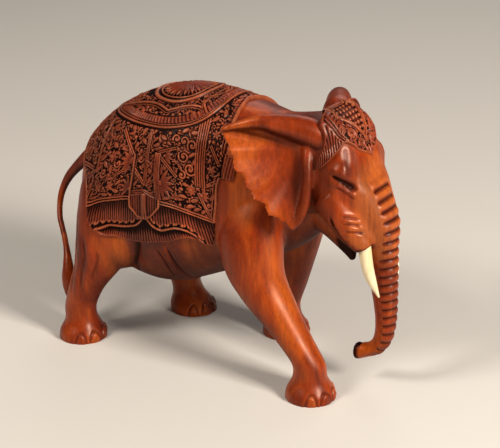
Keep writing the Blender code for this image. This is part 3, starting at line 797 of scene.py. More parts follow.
def trunk_frame(points):
    """How far along the trunk's centre line each point lies, and the angle round from its front."""
    rows = catmull_rom(HEAD_AND_TRUNK[4:], 12)
    best = np.full(len(points), np.inf)
    along, angle = np.zeros(len(points)), np.zeros(len(points))
    for row, length in zip(rows, arc_lengths(rows[:, :3])):
        p = math.radians(row[3])
        offset = points - row[:3]
        slip = offset @ (math.cos(p), 0, math.sin(p))
        out = offset @ (-math.sin(p), 0, math.cos(p))
        reach = np.abs(slip) + 0.02 * np.hypot(out, offset[:, 1])
        nearer = reach < best
        best = np.where(nearer, reach, best)
        along = np.where(nearer, length + slip, along)
        angle = np.where(nearer, np.arctan2(offset[:, 1] / row[4], out / row[5]), angle)
    return along, angle


def carve_trunk(carving):
    """Rolls across the trunk's front, deeper near the top, and a swelling at its root."""
    x, y, z = carving.points.T
    picked = np.nonzero((x > 99) & (np.abs(y) < 24) & (z < 150) & ((z < 118) | (x > 104)))[0]
    y, z = y[picked], z[picked]
    along, angle = trunk_frame(carving.points[picked])
    phase = (along - ROLLS_START + 1.2 * np.cos(angle)) / ROLL_PITCH
    roll = np.abs(np.sin(np.pi * phase)) ** 0.9
    limit = np.interp(along, [ROLLS_START, 50, 90], [9.5, 8.5, 12])
    amount = smooth_step(-np.abs(y), -limit - 1.2, -limit + 1.6)
    amount *= smooth_step(-np.abs(angle), -1.6, -1.25)
    amount *= between(along, ROLLS_START - 2, ROLLS_START + 2, ROLLS_STOP - 12, ROLLS_STOP)
    depth = np.interp(along, [ROLLS_START, 30, 60, 100, ROLLS_STOP], [1.3, 1.3, 1.1, 0.9, 0.5])
    carving.move[picked] += amount * depth * (roll - 0.55)
    # Painted shade in the grooves between the rolls.
    carving.painted_shade(picked, 0.75 * amount * (1 - roll) ** 0.9)
    root = between(along, -2, 16, 30, 58) * smooth_step(-z, -150, -136)
    carving.move[picked] += 1.8 * root * smooth_step(-np.abs(angle), -1.4, -0.6)


def on_skin(points, line):
    """The polyline in short steps, each dropped onto the nearest points of the skin."""
    lengths = arc_lengths(line)
    places = np.linspace(0, lengths[-1], max(4, int(lengths[-1] / 1.2)))
    steps = np.stack([np.interp(places, lengths, line[:, k]) for k in range(3)], axis=1)
    dropped = []
    for step in steps:
        nearest = np.argpartition(np.linalg.norm(points - step, axis=1), 6)[:6]
        dropped.append(points[nearest].mean(0))
    dropped = np.array(dropped)
    dropped[1:-1] = (dropped[:-2] + dropped[1:-1] + dropped[2:]) / 3
    return dropped


class Carving:
    """Cuts and ridges gathered over a skin, each a move along the normals and painted shade in the cut.
    """

    def __init__(self, data):
        self.points, self.normals = get_points(data), get_normals(data)
        self.move, self.recess = np.zeros((2, len(self.points)))

    # Painted shade: darkens the colour where a cut or fold lies.
    def painted_shade(self, picked, amount):
        self.recess[picked] = np.maximum(self.recess[picked], amount)

    def cut(self, line, half, depth, painted_shade=0.8, ridge=0.0):
        """A cut along a polyline on the skin, with raised lips beside it; half can grow to its end."""
        first, last = half if isinstance(half, tuple) else (half, half)
        margin = max(first, last) * 4 + 5
        low, high = line.min(0) - margin, line.max(0) + margin
        picked = np.nonzero(np.all((self.points > low) & (self.points < high), axis=1))[0]
        near = self.points[picked]
        distance, share = line_distance(near, on_skin(near, line))
        width = first + (last - first) * share
        ends = between(share, 0.0, 0.18, 0.75, 1.0)
        cut = fading(distance, width * (0.45 + 0.55 * ends)) * ends
        lips = fading(distance - width * 2.4, width * 1.2) * ends
        self.move[picked] -= depth * cut
        self.move[picked] += ridge * lips
        self.painted_shade(picked, painted_shade * cut)

    def cut_both(self, line, *shape):
        """The same cut on the right side and on the left."""
        for side in (1, -1):
            self.cut(np.array(line, float) * (1, side, 1), *shape)


def carve_face(carving):
    """Half-closed eyes between brow and lower lid, brow grooves, cheek wrinkles and the mouth."""
    # Every cut here carries painted shade: the eye's hollow and slit, a cut of no depth that darkens
    # round the slit, the brow grooves, the wrinkles, the mouth and the nostrils.
    slit = np.array(EYE_SLIT)
    carving.cut_both(slit, (2.8, 5.0), 0.9, 0.3)
    carving.cut_both(slit, (1.1, 2.1), 1.2, 1.0)
    carving.cut_both(slit, (1.2, 2.8), 0.0, 1.0)
    carving.cut_both(slit + (0.6, 0, 4.2), (1.8, 2.6), -0.7, 0.0)
    carving.cut_both(slit[1:] + (-0.8, 0, -3.8), 1.3, -0.6, 0.0)
    carving.cut_both(slit[1:] + (-0.8, 0, -6.2), 0.9, 0.4, 0.3)
    carving.cut_both([(105, -18.4, 166), (107, -21.3, 155.5), (107.5, -22.4, 145)], 2.2, 0.5, 0.35)
    carving.cut_both([(108, -14, 166), (110.5, -17, 155.5), (112, -16.5, 143)], 2.6, 0.25, 0.2)
    for z, x in ((121, 109), (117, 110), (112.5, 112)):
        wrinkle = [(x - 3, -26, z + 1.6), (x + 2, -22.5, z + 0.8), (x + 6, -17, z - 1.5)]
        carving.cut_both(wrinkle, 0.9, 0.45, 0.4, 0.15)
    carving.cut_both(MOUTH, (0.8, 1.5), 2.0, 1.0, 0.5)
    carving.cut(np.array(NOSTRIL), 2.6, 2.6, 1.0)


def carve_feet(carving):
    """Four toenails round the front of each foot."""
    for x, y, _ in FEET.values():
        gap = carving.points[:, :2] - (x, y)
        low = carving.points[:, 2] < 14
        picked = np.nonzero(low & (np.hypot(*gap.T) < FOOT_RADIUS * 1.3))[0]
        turn = np.arctan2(gap[picked, 1], gap[picked, 0])
        flat = np.stack([turn * FOOT_RADIUS, carving.points[picked, 2]], axis=1)
        for centre in TOE_ANGLES:
            middle = math.radians(centre) * FOOT_RADIUS
            half = 5.0 - abs(centre) * 0.02
            steps = np.radians(np.linspace(0, 180, 13))
            arch = np.stack([middle + half * np.cos(steps), 0.3 + 7.4 * np.sin(steps)], axis=1)
            cut = fading(line_distance(flat, arch)[0], 0.75)
            carving.move[picked] += 0.5 * smooth_step(depth_inside(flat, arch), 0.4, 2.2) - 0.6 * cut
            # Painted shade along the toenail cuts.
            carving.painted_shade(picked, 0.4 * cut)


def carve_flanks(carving):
    """The fold between haunch and belly, the girth strap, and folds down each haunch."""
    # Painted shade in the haunch fold, along the strap's edges and in the haunch's folds.
    carving.cut_both(HAUNCH_FOLD, 3.0, 2.4, 0.75)
    for edge, outward in ((STRAP_REAR, 2.4), (STRAP_FRONT, -2.4)):
        carving.cut_both(edge, 0.8, 0.9, 0.85)
        carving.cut_both(np.array(edge) + (outward, 0, 0), 1.0, -0.8, 0.0)
    for x, z, foot_x, foot_z in HIND_LEG_FOLDS:
        fold = [(x, -44, z), (x + 0.2, -46, (z * 2 + foot_z) / 3), (foot_x, -46, foot_z)]
        carving.cut_both(fold, 1.5, 0.55, 0.35, 0.3)


def flatten_soles(points):
    """Folds what lies below the ground into each foot's flat sole."""
    for x, y, _ in FEET.values():
        gap = points[:, :2] - (x, y)
        below = (points[:, 2] < 0) & (np.hypot(gap[:, 0], gap[:, 1]) < FOOT_RADIUS * 1.5)
        share = 1 + 0.8 * np.clip(points[below, 2] / SOLE_DEPTH, -1, 0)
        points[below, :2] = (x, y) + gap[below] * share[:, None]
        points[below, 2] = 0


def carve_body(body):
    """Carves the body's skin, and marks where painted shade darkens the wood and where painted light or a
    lighter tone lightens it.
    """
    carving = Carving(body.data)
    carve_trunk(carving)
    carve_face(carving)
    carve_feet(carving)
    carve_flanks(carving)
    x, y, z = carving.points.T
    side = np.abs(y)
    # Painted shade: darker where the skin faces down, under the jaw, and on the cheeks between ear and
    # eye.
    underneath = smooth_step(-carving.normals[:, 2], -0.1, 0.8) * smooth_step(z, 14, 30)
    jaw = between(x, 90, 97, 108, 112) * smooth_step(-z, -106, -98) * (side < 11)
    cheek = between(x, 70, 86, 98, 107) * smooth_step(side, 15, 22) * between(z, 88, 102, 148, 162)
    # Painted light: the lit front of the face and trunk is lightened; the ears' outer halves take a
    # lighter tone.
    brow = smooth_step(x, 106, 117) * between(z, 80, 100, 146, 168)
    ear = between(x, 28, 34, 62, 76) * smooth_step(side, 47, 54) * between(z, 92, 106, 148, 156)
    recess = np.maximum.reduce([carving.recess, 0.6 * underneath, 0.8 * jaw, 0.36 * cheek])
    wear_and_painted_light = np.maximum(0.6 * brow, 0.4 * ear) * (1 - smooth_step(recess, 0.1, 0.4))
    moved = carving.points + carving.normals * carving.move[:, None]
    flatten_soles(moved)
    set_points(body.data, moved)
    set_attribute(body.data, "recess", recess)
    set_attribute(body.data, "wear_and_painted_light", wear_and_painted_light)


def finely_carved(x, y, z):
    """Whether a place of the body has carving that needs the finer mesh."""
    eye = 97 < x < 116 and abs(y) > 16 and 136 < z < 153
    mouth = x > 99 and 10 < abs(y) < 31 and 96 < z < 126
    trunk = x > 103 and abs(y) < 13 and 14 < z < 150
    toes = z < 9.5 and any(-4 < x - foot[0] < 20 and abs(y - foot[1]) < 20 for foot in FEET.values())
    return eye or mouth or trunk or toes


def refine(obj):
    """One more level of smooth surface, and another where the fine carving is."""
    finer = obj.modifiers.new("finer", "SUBSURF")
    finer.levels = 1
    finer.render_levels = 1
    applied(obj)
    mesh = bmesh.new()
    mesh.from_mesh(obj.data)
    chosen = set()
    for face in mesh.faces:
        if finely_carved(*face.calc_center_median()):
            chosen.update(face.edges)
    bmesh.ops.subdivide_edges(mesh, edges=list(chosen), cuts=1, use_grid_fill=True)
    mesh.to_mesh(obj.data)
    mesh.free()


# ---- The saddle cloth ----


def torso_section(x):
    """Half-width, half-height and centre height of the torso at each x."""
    rows = catmull_rom(TORSO, 12)
    top, bottom, width = (np.interp(x, rows[:, 0], rows[:, k]) for k in (1, 2, 3))
    return width, (top - bottom) / 2, (top + bottom) / 2


def girth_angles(width, half, distances):
    """The angles from the spine, round an oval, at the given distances along it."""
    turns = np.linspace(0, math.pi, 240)
    lengths = running(np.hypot(np.diff(width * np.sin(turns)), np.diff(half * np.cos(turns))))
    return np.sign(distances) * np.interp(np.abs(distances), lengths, turns)


def dropped_on(obj, xs, ys, ray):
    """Points of the object's skin under each grid place, where ray gives centre, way and reach."""
    tree = BVHTree.FromObject(obj, bpy.context.evaluated_depsgraph_get())
    points = np.zeros((len(xs), len(ys), 3))
    for i, row in enumerate(ray(xs, ys)):
        for j, (centre, way, reach, missed) in enumerate(row):
            hit = tree.ray_cast(centre + way * reach, -way, reach)
            points[i, j] = hit[0] if hit[0] else centre + way * missed
    return points


def girth_rays(xs, distances):
    """Rays square to the spine, spread evenly round the torso's section."""
    for x in xs:
        width, half, middle = torso_section(x)
        yield [(Vector((x, 0, middle)), Vector((0, width * math.sin(t), half * math.cos(t))).normalized(),
                120, width) for t in girth_angles(width, half, distances)]


def grid_normals(points):
    """Unit normals of a grid of points, outward for rows that run back to front."""
    normals = np.cross(np.gradient(points, axis=1), np.gradient(points, axis=0))
    return normals / np.maximum(np.linalg.norm(normals, axis=2, keepdims=True), 1e-9)


def cloth_relief(xs, vs):
    """The height of the right half of the cloth above the body's skin, less the cloth's raise."""
    relief = Relief(xs, vs)
    inside = relief.depth(closed(CLOTH_OUTLINE))
    pad = relief.depth(closed(OVAL_OUTLINE))
    draw_bands(relief)
    draw_flowers(relief)
    draw_filling(relief, inside, pad)
    draw_pad(relief, pad)
    draw_undergrowth(relief, inside, pad)
    draw_fringe(relief)
    draw_knot(relief)
    draw_edges(relief, inside)
    relief.height += 0.10 * (rough(relief.a, relief.b, 1.5, 5) - 0.5)
    return relief.height, inside


def draw_bands(relief):
    """Double-ridged bands, and the ribbon's edges, that divide the side panel."""
    for line in BANDS:
        relief.rails(line, (0.62,), 0.52, 0.12, 1.5)
    relief.rails(TRIPLE_BAND, (0.0, 1.55, 3.0), 0.62, 0.1, 4.2)
    relief.rails(RIBBON_REAR_EDGE, (0.0,), 0.85, 0.3, 1.5)
    relief.rails(RIBBON_FRONT_EDGE, (0.45, 1.5), 0.7, 0.28, 2.6)
    relief.rails(RIBBON_MIDDLE, (0.0, 0.9), 0.42, 0.05, 1.5)


def draw_flowers(relief):
    """Half daisies beside the ribbon, rosettes and curling stems."""
    for flower in FLOWERS:
        relief.fan(*flower)
    for scroll in SCROLLS:
        relief.scroll(*scroll)
    for foot, angle, length, width, bend in LEAVES:
        relief.leaf(foot, angle, length, width, 0.12, bend)


def draw_filling(relief, inside, pad):
    """Small leaves, curls and beads wherever the ground is still bare."""
    random = np.random.default_rng(12)
    for step in range(FILLING_TRIES * 4):
        x, v = random.uniform(-88, 29), random.uniform(0, 90)
        i, j = np.searchsorted(relief.rows, x), np.searchsorted(relief.columns, v)
        if i < 4 or j < 1 or i >= len(relief.rows) - 4 or j >= len(relief.columns) - 4:
            continue
        if inside[i, j] < 2.6 or pad[i, j] > -1.6 or v > np.interp(x, *BORDER_LINE) - 2:
            continue
        reach = (7, 5, 4, 3)[step // FILLING_TRIES]
        around = relief.height[max(i - reach, 0) : i + reach + 1, max(j - reach, 0) : j + reach + 1]
        if around.max() > GROUND + 0.35:
            continue
        angle = math.degrees(math.atan2(v, x + 22)) + random.choice((-1, 1)) * random.uniform(15, 75)
        kind = random.integers(0, 5)
        back = math.radians(angle)
        foot = (x - 1.3 * math.cos(back), v - 1.3 * math.sin(back))
        if step >= FILLING_TRIES * 3:
            relief.bead((x, v), random.uniform(0.6, 0.95), 0.0)
        elif step < FILLING_TRIES:
            relief.leaf(foot, angle, random.uniform(5.0, 6.5), random.uniform(2.8, 3.6), 0.12,
                        random.uniform(-70, 70))
        elif kind == 0:
            relief.bead((x, v), random.uniform(1.0, 1.5), 0.1)
        elif kind == 1:
            relief.scroll((x, v), angle, 0.8 * random.choice((-1, 1)), 1.8, 0.55, 0.05)
        else:
            relief.leaf(foot, angle, random.uniform(3.4, 4.8), random.uniform(1.9, 2.6), 0.1,
                        random.uniform(-60, 60))


def draw_undergrowth(relief, inside, pad):
    """Curling stems on whatever ground is still bare."""
    a, b = relief.a, relief.b
    bare = blurred(relief.height, 1) < GROUND + 0.16
    bare &= (inside > 2.4) & (b < np.interp(a, *BORDER_LINE) - 1.2)
    bare &= (pad < -1.6) | ((pad > 8.6) & (pad < 20))
    grown = GROUND + 0.95 * stems(a, b, 2.3, 31)
    relief.height = np.where(bare, np.maximum(relief.height, grown), relief.height)


def draw_pad(relief, pad):
    """The oval pad over the back: rims, a hatched band, scallops, beads and a rosette."""
    a, b = relief.a, relief.b
    relief.height = np.where(pad > -1.2, GROUND, relief.height)
    band = between(pad, 2.9, 3.4, 7.4, 8.2)
    hatch = np.abs(np.sin(np.arctan2(b, (a + 24) * 0.95) * 50)) ** 0.7
    relief.height = np.where(pad > 0, GROUND + (0.35 + 0.75 * hatch) * band, relief.height)
    for line in SCALLOPS:
        smooth_line = catmull_rom(line, 4)
        relief.rails(smooth_line, (0.0,), 0.95, 0.32, 1.5)
        relief.rails(smooth_line + SCALLOP_STEP, (0.0,), 0.4, 0.0, 0.8)
    for x, v, radius in PAD_BEADS:
        relief.bead((x, v), radius, 0.15)
    relief.rails(catmull_rom(PAD_INNER_RIM, 4), (0.0,), 1.35, 0.5, 2.0)
    relief.rails(catmull_rom(PAD_THIN_RIM, 4), (0.0,), 0.6, 0.2, 1.0)
    for angle in range(0, 181, 18):
        relief.leaf(PAD_HEART, angle, 16.5, 4.4, 0.3)
    for angle in range(9, 180, 18):
        relief.leaf(PAD_HEART, angle, 17.5, 2.2, 0.0)
    for angle in (45, 135):
        for line in SCALLOPS:
            relief.leaf(np.array(line[len(line) // 2]) + (0, 4.0), angle, 5.5, 2.4, 0.15)
    relief.bead(PAD_HEART, 3.2, 0.4)
    relief.rim(pad, 0.75, 0.75, 0.35)
    relief.rim(pad, 2.35, 0.5, 0.2)


def draw_fringe(relief):
    """The two hatched tiers of fringe below the lower border."""
    a, b = relief.a, relief.b
    border, tier, hem = (np.interp(a, *line) for line in (BORDER_LINE, TIER_LINE, HEM_LINE))
    wobble = 0.5 * rough(a, b, 3.0, 8)
    pleats = hatching(a - (b - border) * (a + 21) * 0.004 + wobble, HATCH_SPACING)
    scallop = np.abs(np.sin(np.pi * (a + 59) / DROP_SPACING))
    lip = tier - 3.6 + 1.5 * scallop
    top = -0.6 + 0.45 * smooth_step(b, border + 1, lip) + 0.85 * (pleats - 1)
    top += 0.75 * smooth_step(b, lip - 2.0, lip - 0.8) * scallop
    upper = (b > border) & (b < tier - 0.2)
    relief.height = np.where(upper, np.where(b < lip, top, GROUND - 0.1), relief.height)
    folds = hatching(a - (b - tier) * (a + 20) * 0.012 + wobble, HATCH_SPACING * 0.95)
    hanging = -0.9 + 0.95 * smooth_step(b, tier, hem) + 0.85 * (folds - 1)
    relief.height = np.where(b >= tier - 0.2, hanging, relief.height)
    for line in (BORDER_REAR, BORDER_FRONT):
        relief.rails(line, (0.85,), 0.62, 0.25, 1.9)
    for line in (TIER_REAR, TIER_FRONT):
        relief.rails(catmull_rom(line, 4), (0.0,), 0.85, 0.3, 1.2)


def draw_knot(relief):
    """The ribbon's two hatched tabs and the knot where they meet."""
    tab = 0.05 + 0.85 * (hatching(relief.a, HATCH_SPACING) - 1)
    for outline in (KNOT_REAR, KNOT_FRONT):
        relief.height = np.where(relief.depth(outline) > 0, tab, relief.height)
        relief.rails(outline, (0.0,), 0.85, 0.7, 0)
        relief.rails([outline[-1], outline[0]], (0.0,), 0.6, 0.3, 0)
    relief.rails([(-21.1, 83), (-21.1, 100)], (0.0,), 0.95, 0.8, 0)
    relief.leaf((-26, 98.6), 15, 6.5, 3.2, 0.4)
    relief.leaf((-16.2, 98.6), 165, 6.5, 3.2, 0.4)


def draw_edges(relief, inside):
    """The collar, the rim round the panel, and the hatched tab in front."""
    a, b = relief.a, relief.b
    panel = b < np.interp(a, *BORDER_LINE) + 1
    in_front = (a > 20) & panel
    relief.rim(inside, 1.0, 0.75, 0.2, panel & ~in_front)
    relief.rim(inside, 1.1, 0.85, 0.25, in_front & (b > 26))
    relief.rim(inside, 2.9, 0.5, 0.05, in_front & (b > 26))
    relief.rim(inside, 1.3, 1.5, 0.55, in_front & (b <= 30))
    relief.rim(inside, 0.9, 0.85, 0.15, b > np.interp(a, *TIER_LINE) + 1)
    tab = (a > 30.6) & (b > 44) & (b < 60)
    relief.height = np.where(tab, 0.85 * (hatching(a + b * 0.1, HATCH_SPACING) - 1), relief.height)
    relief.groove([(30.2, 43), (30.2, 61)], 0.5, 0.9)


def relief_shell(name, points, height, inside):
    """A closed shell with the half relief on the right side and its mirror image on the left."""
    both, edge = (np.concatenate([half[:, :0:-1], half], axis=1) for half in (height, inside))
    lift = smooth_step(edge, -0.1, 0.9)
    total = np.where(edge > -0.1, SHELL_FLOOR + (both + CLOTH_RAISE - SHELL_FLOOR) * lift, SHELL_FLOOR)
    shell, used = shell_over(name, points, grid_normals(points), total)
    # Painted shade: darker in the relief's hollows and on its low ground; the hidden inner side is fully
    # darkened.
    painted_shade = np.maximum((blurred(both, 3) - both) / 0.55, (-0.35 - both) / 0.6)
    # Lighter on the relief's ridges: partly wear, partly a painted highlight.
    wear_and_painted_light = (both - blurred(both, 4)) / 0.7
    for attribute, values, inner in (("recess", painted_shade, np.ones), ("wear_and_painted_light", wear_and_painted_light, np.zeros)):
        outer = np.clip(values, 0, 1)[used]
        set_attribute(shell.data, attribute, np.concatenate([outer, inner(len(outer))]))
    return shell


def make_cloth(mass):
    """The saddle cloth, on a grid of even steps along the back and round the girth."""
    meridian = np.arange(-91.5, 40, CLOTH_GRID / 4)
    width, half, middle = torso_section(meridian)
    slope = np.hypot(np.gradient(middle + half, meridian), np.gradient(width, meridian))
    lengths = running(np.hypot(1, slope[1:]) * CLOTH_GRID / 4)
    xs = np.interp(np.arange(0, lengths[-1], CLOTH_GRID), lengths, meridian)
    vs = np.arange(int(CLOTH_DROP / CLOTH_GRID) + 1) * CLOTH_GRID
    height, inside = cloth_relief(xs, vs)
    points = dropped_on(mass, xs, np.concatenate([vs[:0:-1], -vs]), girth_rays)
    return relief_shell("saddle_cloth", points, height, inside)


# ---- The headdress ----


def headdress_relief(ps, qs):
    """The height of the right half of the headdress, less the cloth's raise."""
    relief = Relief(ps, qs)
    a, b = relief.a, relief.b
    panel_outline = closed(DROP_PANEL)
    inside, panel = relief.depth(closed(HEADDRESS_OUTLINE)), relief.depth(panel_outline)
    flap = 0.1 + 0.95 * (hatching(b + 0.5 * a, 1.65) - 1)
    bars = 0.1 + 0.9 * (hatching(a + 0.3 * b, 1.9) - 1)
    relief.height = np.where(b > 17, flap, relief.height)
    relief.height = np.where((b > 10) & (a > 36.5) & (b < 17), bars, relief.height)
    for centre, start, turns, radius in SHELLS:
        for share in (1.0, 0.62):
            relief.scroll(centre, start, turns, radius * share, 0.62, 0.25)
    for leaf in HEADDRESS_LEAVES:
        relief.leaf(*leaf)
    for place in ((15.5, 3.6), (22.5, 12), (26, 8.6), (17.5, 8.6)):
        relief.bead(place, 0.8, 0.2)
    relief.rails([(48, 11.5), (40, 12.4), (36.8, 17)], (0.0,), 0.6, 0.3, 1.0)
    relief.rails([(44, 17), (34, 17.4), (26.5, 16)], (0.0, 1.2), 0.5, 0.2, 1.6)
    relief.height = np.where(panel > 0, GROUND, relief.height)
    for row in range(8):
        for column in range(4):
            place = (26.6 + row * 2.8, (column + 0.5 * (row % 2)) * 3.3)
            if depth_inside(np.array([place]), panel_outline)[0] > 1.8:
                relief.bead(place, 0.95, 0.2)
    relief.rim(panel, -0.3, 0.7, 0.4)
    relief.rim(panel, 1.0, 0.4, 0.1)
    relief.rim(inside, 0.8, 0.7, 0.3)
    grown = GROUND + 0.9 * stems(a, b, 2.0, 61) * (panel < -1.3) * (b < 16)
    relief.height = np.maximum(relief.height, grown)
    relief.height += np.interp(a, *CROWN_RISE) * (1 - 0.85 * smooth_step(b, 11, 23))
    relief.height += 2.4 * smooth_step(a, 36, 44) * fading(b - 11, 4.5)
    return relief.height, inside


def head_rays(ps, qs):
    """Rays from the middle of the head, at the angles that p and q stand for."""
    for rise in ps / HEAD_BALL:
        yield [(Vector(HEAD_CENTRE), Vector((math.cos(rise) * math.cos(turn), math.sin(turn),
                                             math.sin(rise) * math.cos(turn))), 41, HEAD_BALL)
               for turn in qs / HEAD_BALL]


def make_headdress(body):
    """The headdress, whose rows run from the crown down to the forehead."""
    ps = np.arange(8, 53, HEADDRESS_GRID)
    qs = np.arange(int(41 / HEADDRESS_GRID) + 1) * HEADDRESS_GRID
    height, inside = headdress_relief(ps, qs)
    points = dropped_on(body, ps, np.concatenate([qs[:0:-1], -qs]), head_rays)
    return relief_shell("headdress", points[::-1], height[::-1], inside[::-1])


# ---- Materials ----


def nodes_of(name):
    made = bpy.data.materials.new(name)
    made.use_nodes = True
    tree = made.node_tree
    return made, tree, tree.nodes["Principled BSDF"]


def link(tree, source, output, target, entry):
    tree.links.new(source.outputs[output], target.inputs[entry])


def mapped(tree, scale):
    """Object coordinates stretched along the grain."""
    stretch = tree.nodes.new("ShaderNodeMapping")
    stretch.inputs["Scale"].default_value = scale
    link(tree, tree.nodes.new("ShaderNodeTexCoord"), "Object", stretch, "Vector")
    return stretch


def noise(tree, scale, size, detail, roughness=0.5, distortion=0.0):
    """Noise in object coordinates, which the scale stretches along the grain."""
    made = tree.nodes.new("ShaderNodeTexNoise")
    settings = {"Scale": size, "Detail": detail, "Roughness": roughness, "Distortion": distortion}
    for entry, value in settings.items():
        made.inputs[entry].default_value = value
    link(tree, mapped(tree, scale), "Vector", made, "Vector")
    return made


def ramp(tree, source, output, stops):
    made = tree.nodes.new("ShaderNodeValToRGB")
    elements = made.color_ramp.elements
    while len(elements) < len(stops):
        elements.new(0.5)
    for element, (place, colour) in zip(elements, stops):
        element.position = place
        element.color = (*colour, 1)
    link(tree, source, output, made, "Fac")
    return made


def mixed(tree, kind, factor, one, two):
    """A colour mix; each input is a (node, output) pair or a plain value."""
    made = tree.nodes.new("ShaderNodeMix")
    made.data_type = "RGBA"
    made.blend_type = kind
    made.clamp_factor = True
    for entry, value in ((0, factor), (6, one), (7, two)):
        if isinstance(value, tuple) and hasattr(value[0], "outputs"):
            tree.links.new(value[0].outputs[value[1]], made.inputs[entry])
        else:
            made.inputs[entry].default_value = value if entry == 0 else (*value, 1)
    return made


def grey(value):
    return (value, value, value)


def attribute(tree, name, stops):
    """A point attribute of the mesh, as the greys of the stops."""
    node = tree.nodes.new("ShaderNodeAttribute")
    node.attribute_name = name
    return ramp(tree, node, "Fac", [(place, grey(value)) for place, value in stops])


def add_bump(tree, shader, height, strength, distance):
    """Fine grain that the light catches."""
    bump = tree.nodes.new("ShaderNodeBump")
    bump.inputs["Strength"].default_value = strength
    bump.inputs["Distance"].default_value = distance
    link(tree, height, "Fac", bump, "Height")
    link(tree, bump, "Normal", shader, "Normal")


def wood(name, light, middle, dark, painted_shade, wear_and_painted_light_tone, full_painted_shade):
    """Lacquered hardwood with upright grain: figure, streaks and pores, painted shade where recess is
    marked, and a lighter tone where wear or painted light is marked.
    """
    made, tree, shader = nodes_of(name)
    figure = noise(tree, (1, 1, 0.22), 34, 5, 0.55, 0.9)
    base = ramp(tree, figure, "Fac", [(0.34, dark), (0.50, middle), (0.68, light)])
    # The lighter tone of wear and painted light.
    wear_and_painted_light_share = attribute(tree, "wear_and_painted_light", [(0.15, 0), (1.0, 0.45)])
    toned = mixed(tree, "MIX", (wear_and_painted_light_share, "Color"), (base, "Color"), wear_and_painted_light_tone)
    streaks = noise(tree, (1, 1, 0.05), 420, 4, 0.6, 0.3)
    lines = ramp(tree, streaks, "Fac", [(0.35, grey(0.62)), (0.62, grey(1.08))])
    toned = mixed(tree, "MULTIPLY", 0.7, (toned, 2), (lines, "Color"))
    pores = noise(tree, (1, 1, 0.09), 1500, 2)
    specks = ramp(tree, pores, "Fac", [(0.30, grey(0.35)), (0.40, grey(1.0))])
    toned = mixed(tree, "MULTIPLY", 0.6, (toned, 2), (specks, "Color"))
    # Painted shade: the recess mark mixes in the near-black colour.
    hollow = attribute(tree, "recess", [(0.05, 0), (full_painted_shade, 1)])
    final = mixed(tree, "MIX", (hollow, "Color"), (toned, 2), painted_shade)
    link(tree, final, 2, shader, "Base Color")
    patches = noise(tree, (1, 1, 1), 60, 4)
    gloss = ramp(tree, patches, "Fac", [(0.3, grey(0.33)), (0.7, grey(0.47))])
    dull = mixed(tree, "MIX", (hollow, "Color"), (gloss, "Color"), grey(0.7))
    link(tree, dull, 2, shader, "Roughness")
    shine = attribute(tree, "recess", [(0.05, 0.40), (full_painted_shade, 0.05)])
    link(tree, shine, "Color", shader, "Specular IOR Level")
    shader.inputs["Specular Tint"].default_value = (1.0, 0.62, 0.46, 1)
    shader.inputs["Coat Weight"].default_value = 0.08
    shader.inputs["Coat Roughness"].default_value = 0.24
    shader.inputs["Coat Tint"].default_value = (1.0, 0.72, 0.58, 1)
    add_bump(tree, shader, streaks, 0.25, 0.0002)
    return made


def bone(name):
    """Polished bone: cream with faint long streaks."""
    made, tree, shader = nodes_of(name)
    cloud = noise(tree, (1, 1, 0.35), 90, 4, 0.5, 0.4)
    base = ramp(tree, cloud, "Fac", [(0.3, (0.70, 0.56, 0.31)), (0.7, (0.86, 0.77, 0.54))])
    lines = noise(tree, (1, 1, 0.08), 900, 3)
    fine = ramp(tree, lines, "Fac", [(0.35, grey(0.86)), (0.6, grey(1.0))])
    toned = mixed(tree, "MULTIPLY", 0.8, (base, "Color"), (fine, "Color"))
    link(tree, toned, 2, shader, "Base Color")
    gloss = ramp(tree, cloud, "Fac", [(0.3, grey(0.24)), (0.7, grey(0.36))])
    link(tree, gloss, "Color", shader, "Roughness")
    shader.inputs["Subsurface Weight"].default_value = 0.15
    shader.inputs["Subsurface Radius"].default_value = (0.004, 0.003, 0.002)
    add_bump(tree, shader, lines, 0.12, 0.0001)
    return made


# ---- Tusks ----


def make_tusk(side, name):
    """A curved, tapering tusk whose foot sits in the cheek's recess."""
    rows = catmull_rom(sided(TUSK_LINE, side), 14)
    rows[:, 3] *= TUSK_RADIUS
    inward, onward = rows[0, :3] - rows[1, :3], rows[-1, :3] - rows[-2, :3]
    inward /= np.linalg.norm(inward)
    onward /= np.linalg.norm(onward)
    foot = [(*(rows[0, :3] + inward * d), TUSK_RADIUS * r) for d, r in ((TUSK_RECESS, 0.97), (1.5, 1))]
    tip = [(*(rows[-1, :3] + onward * d), rows[-1, 3] * r) for d, r in ((0.3, 0.8), (0.5, 0.35))]
    mesh = bmesh.new()
    tube(mesh, np.vstack([foot, rows, tip]), 40)
    return object_from(mesh, name)


# ---- Staging ----


def to_origin(obj, look):
    """Moves the finished shape to the object's origin, in metres, and gives it its material."""
    shift = Matrix.Translation((-ORIGIN[0] * MM, -ORIGIN[1] * MM, 0))
    obj.data.transform(shift @ Matrix.Diagonal((MM, MM, MM, 1)))
    obj.data.materials.clear()
    obj.data.materials.append(look)
    obj.data.shade_smooth()


def make_floor():
    """A plain pale floor."""
    made, _, shader = nodes_of("pale_floor")
    shader.inputs["Base Color"].default_value = (0.60, 0.575, 0.54, 1)
    shader.inputs["Roughness"].default_value = 0.9
    mesh = bmesh.new()
    bmesh.ops.create_grid(mesh, x_segments=1, y_segments=1, size=6)
    data = bpy.data.meshes.new("floor")
    mesh.to_mesh(data)
    mesh.free()
    data.materials.append(made)
    floor = linked("floor", data)


CAMERA_AZIMUTH = 32.0
CAMERA_ELEVATION = 22.5
CAMERA_DISTANCE = 1257.14
CAMERA_TARGET = (-90.853, 187.12)
CAMERA_LENS = 113.14
# The middle of the object, in metres, where the lamps point.
MIDDLE = (0, 0, 0.09)


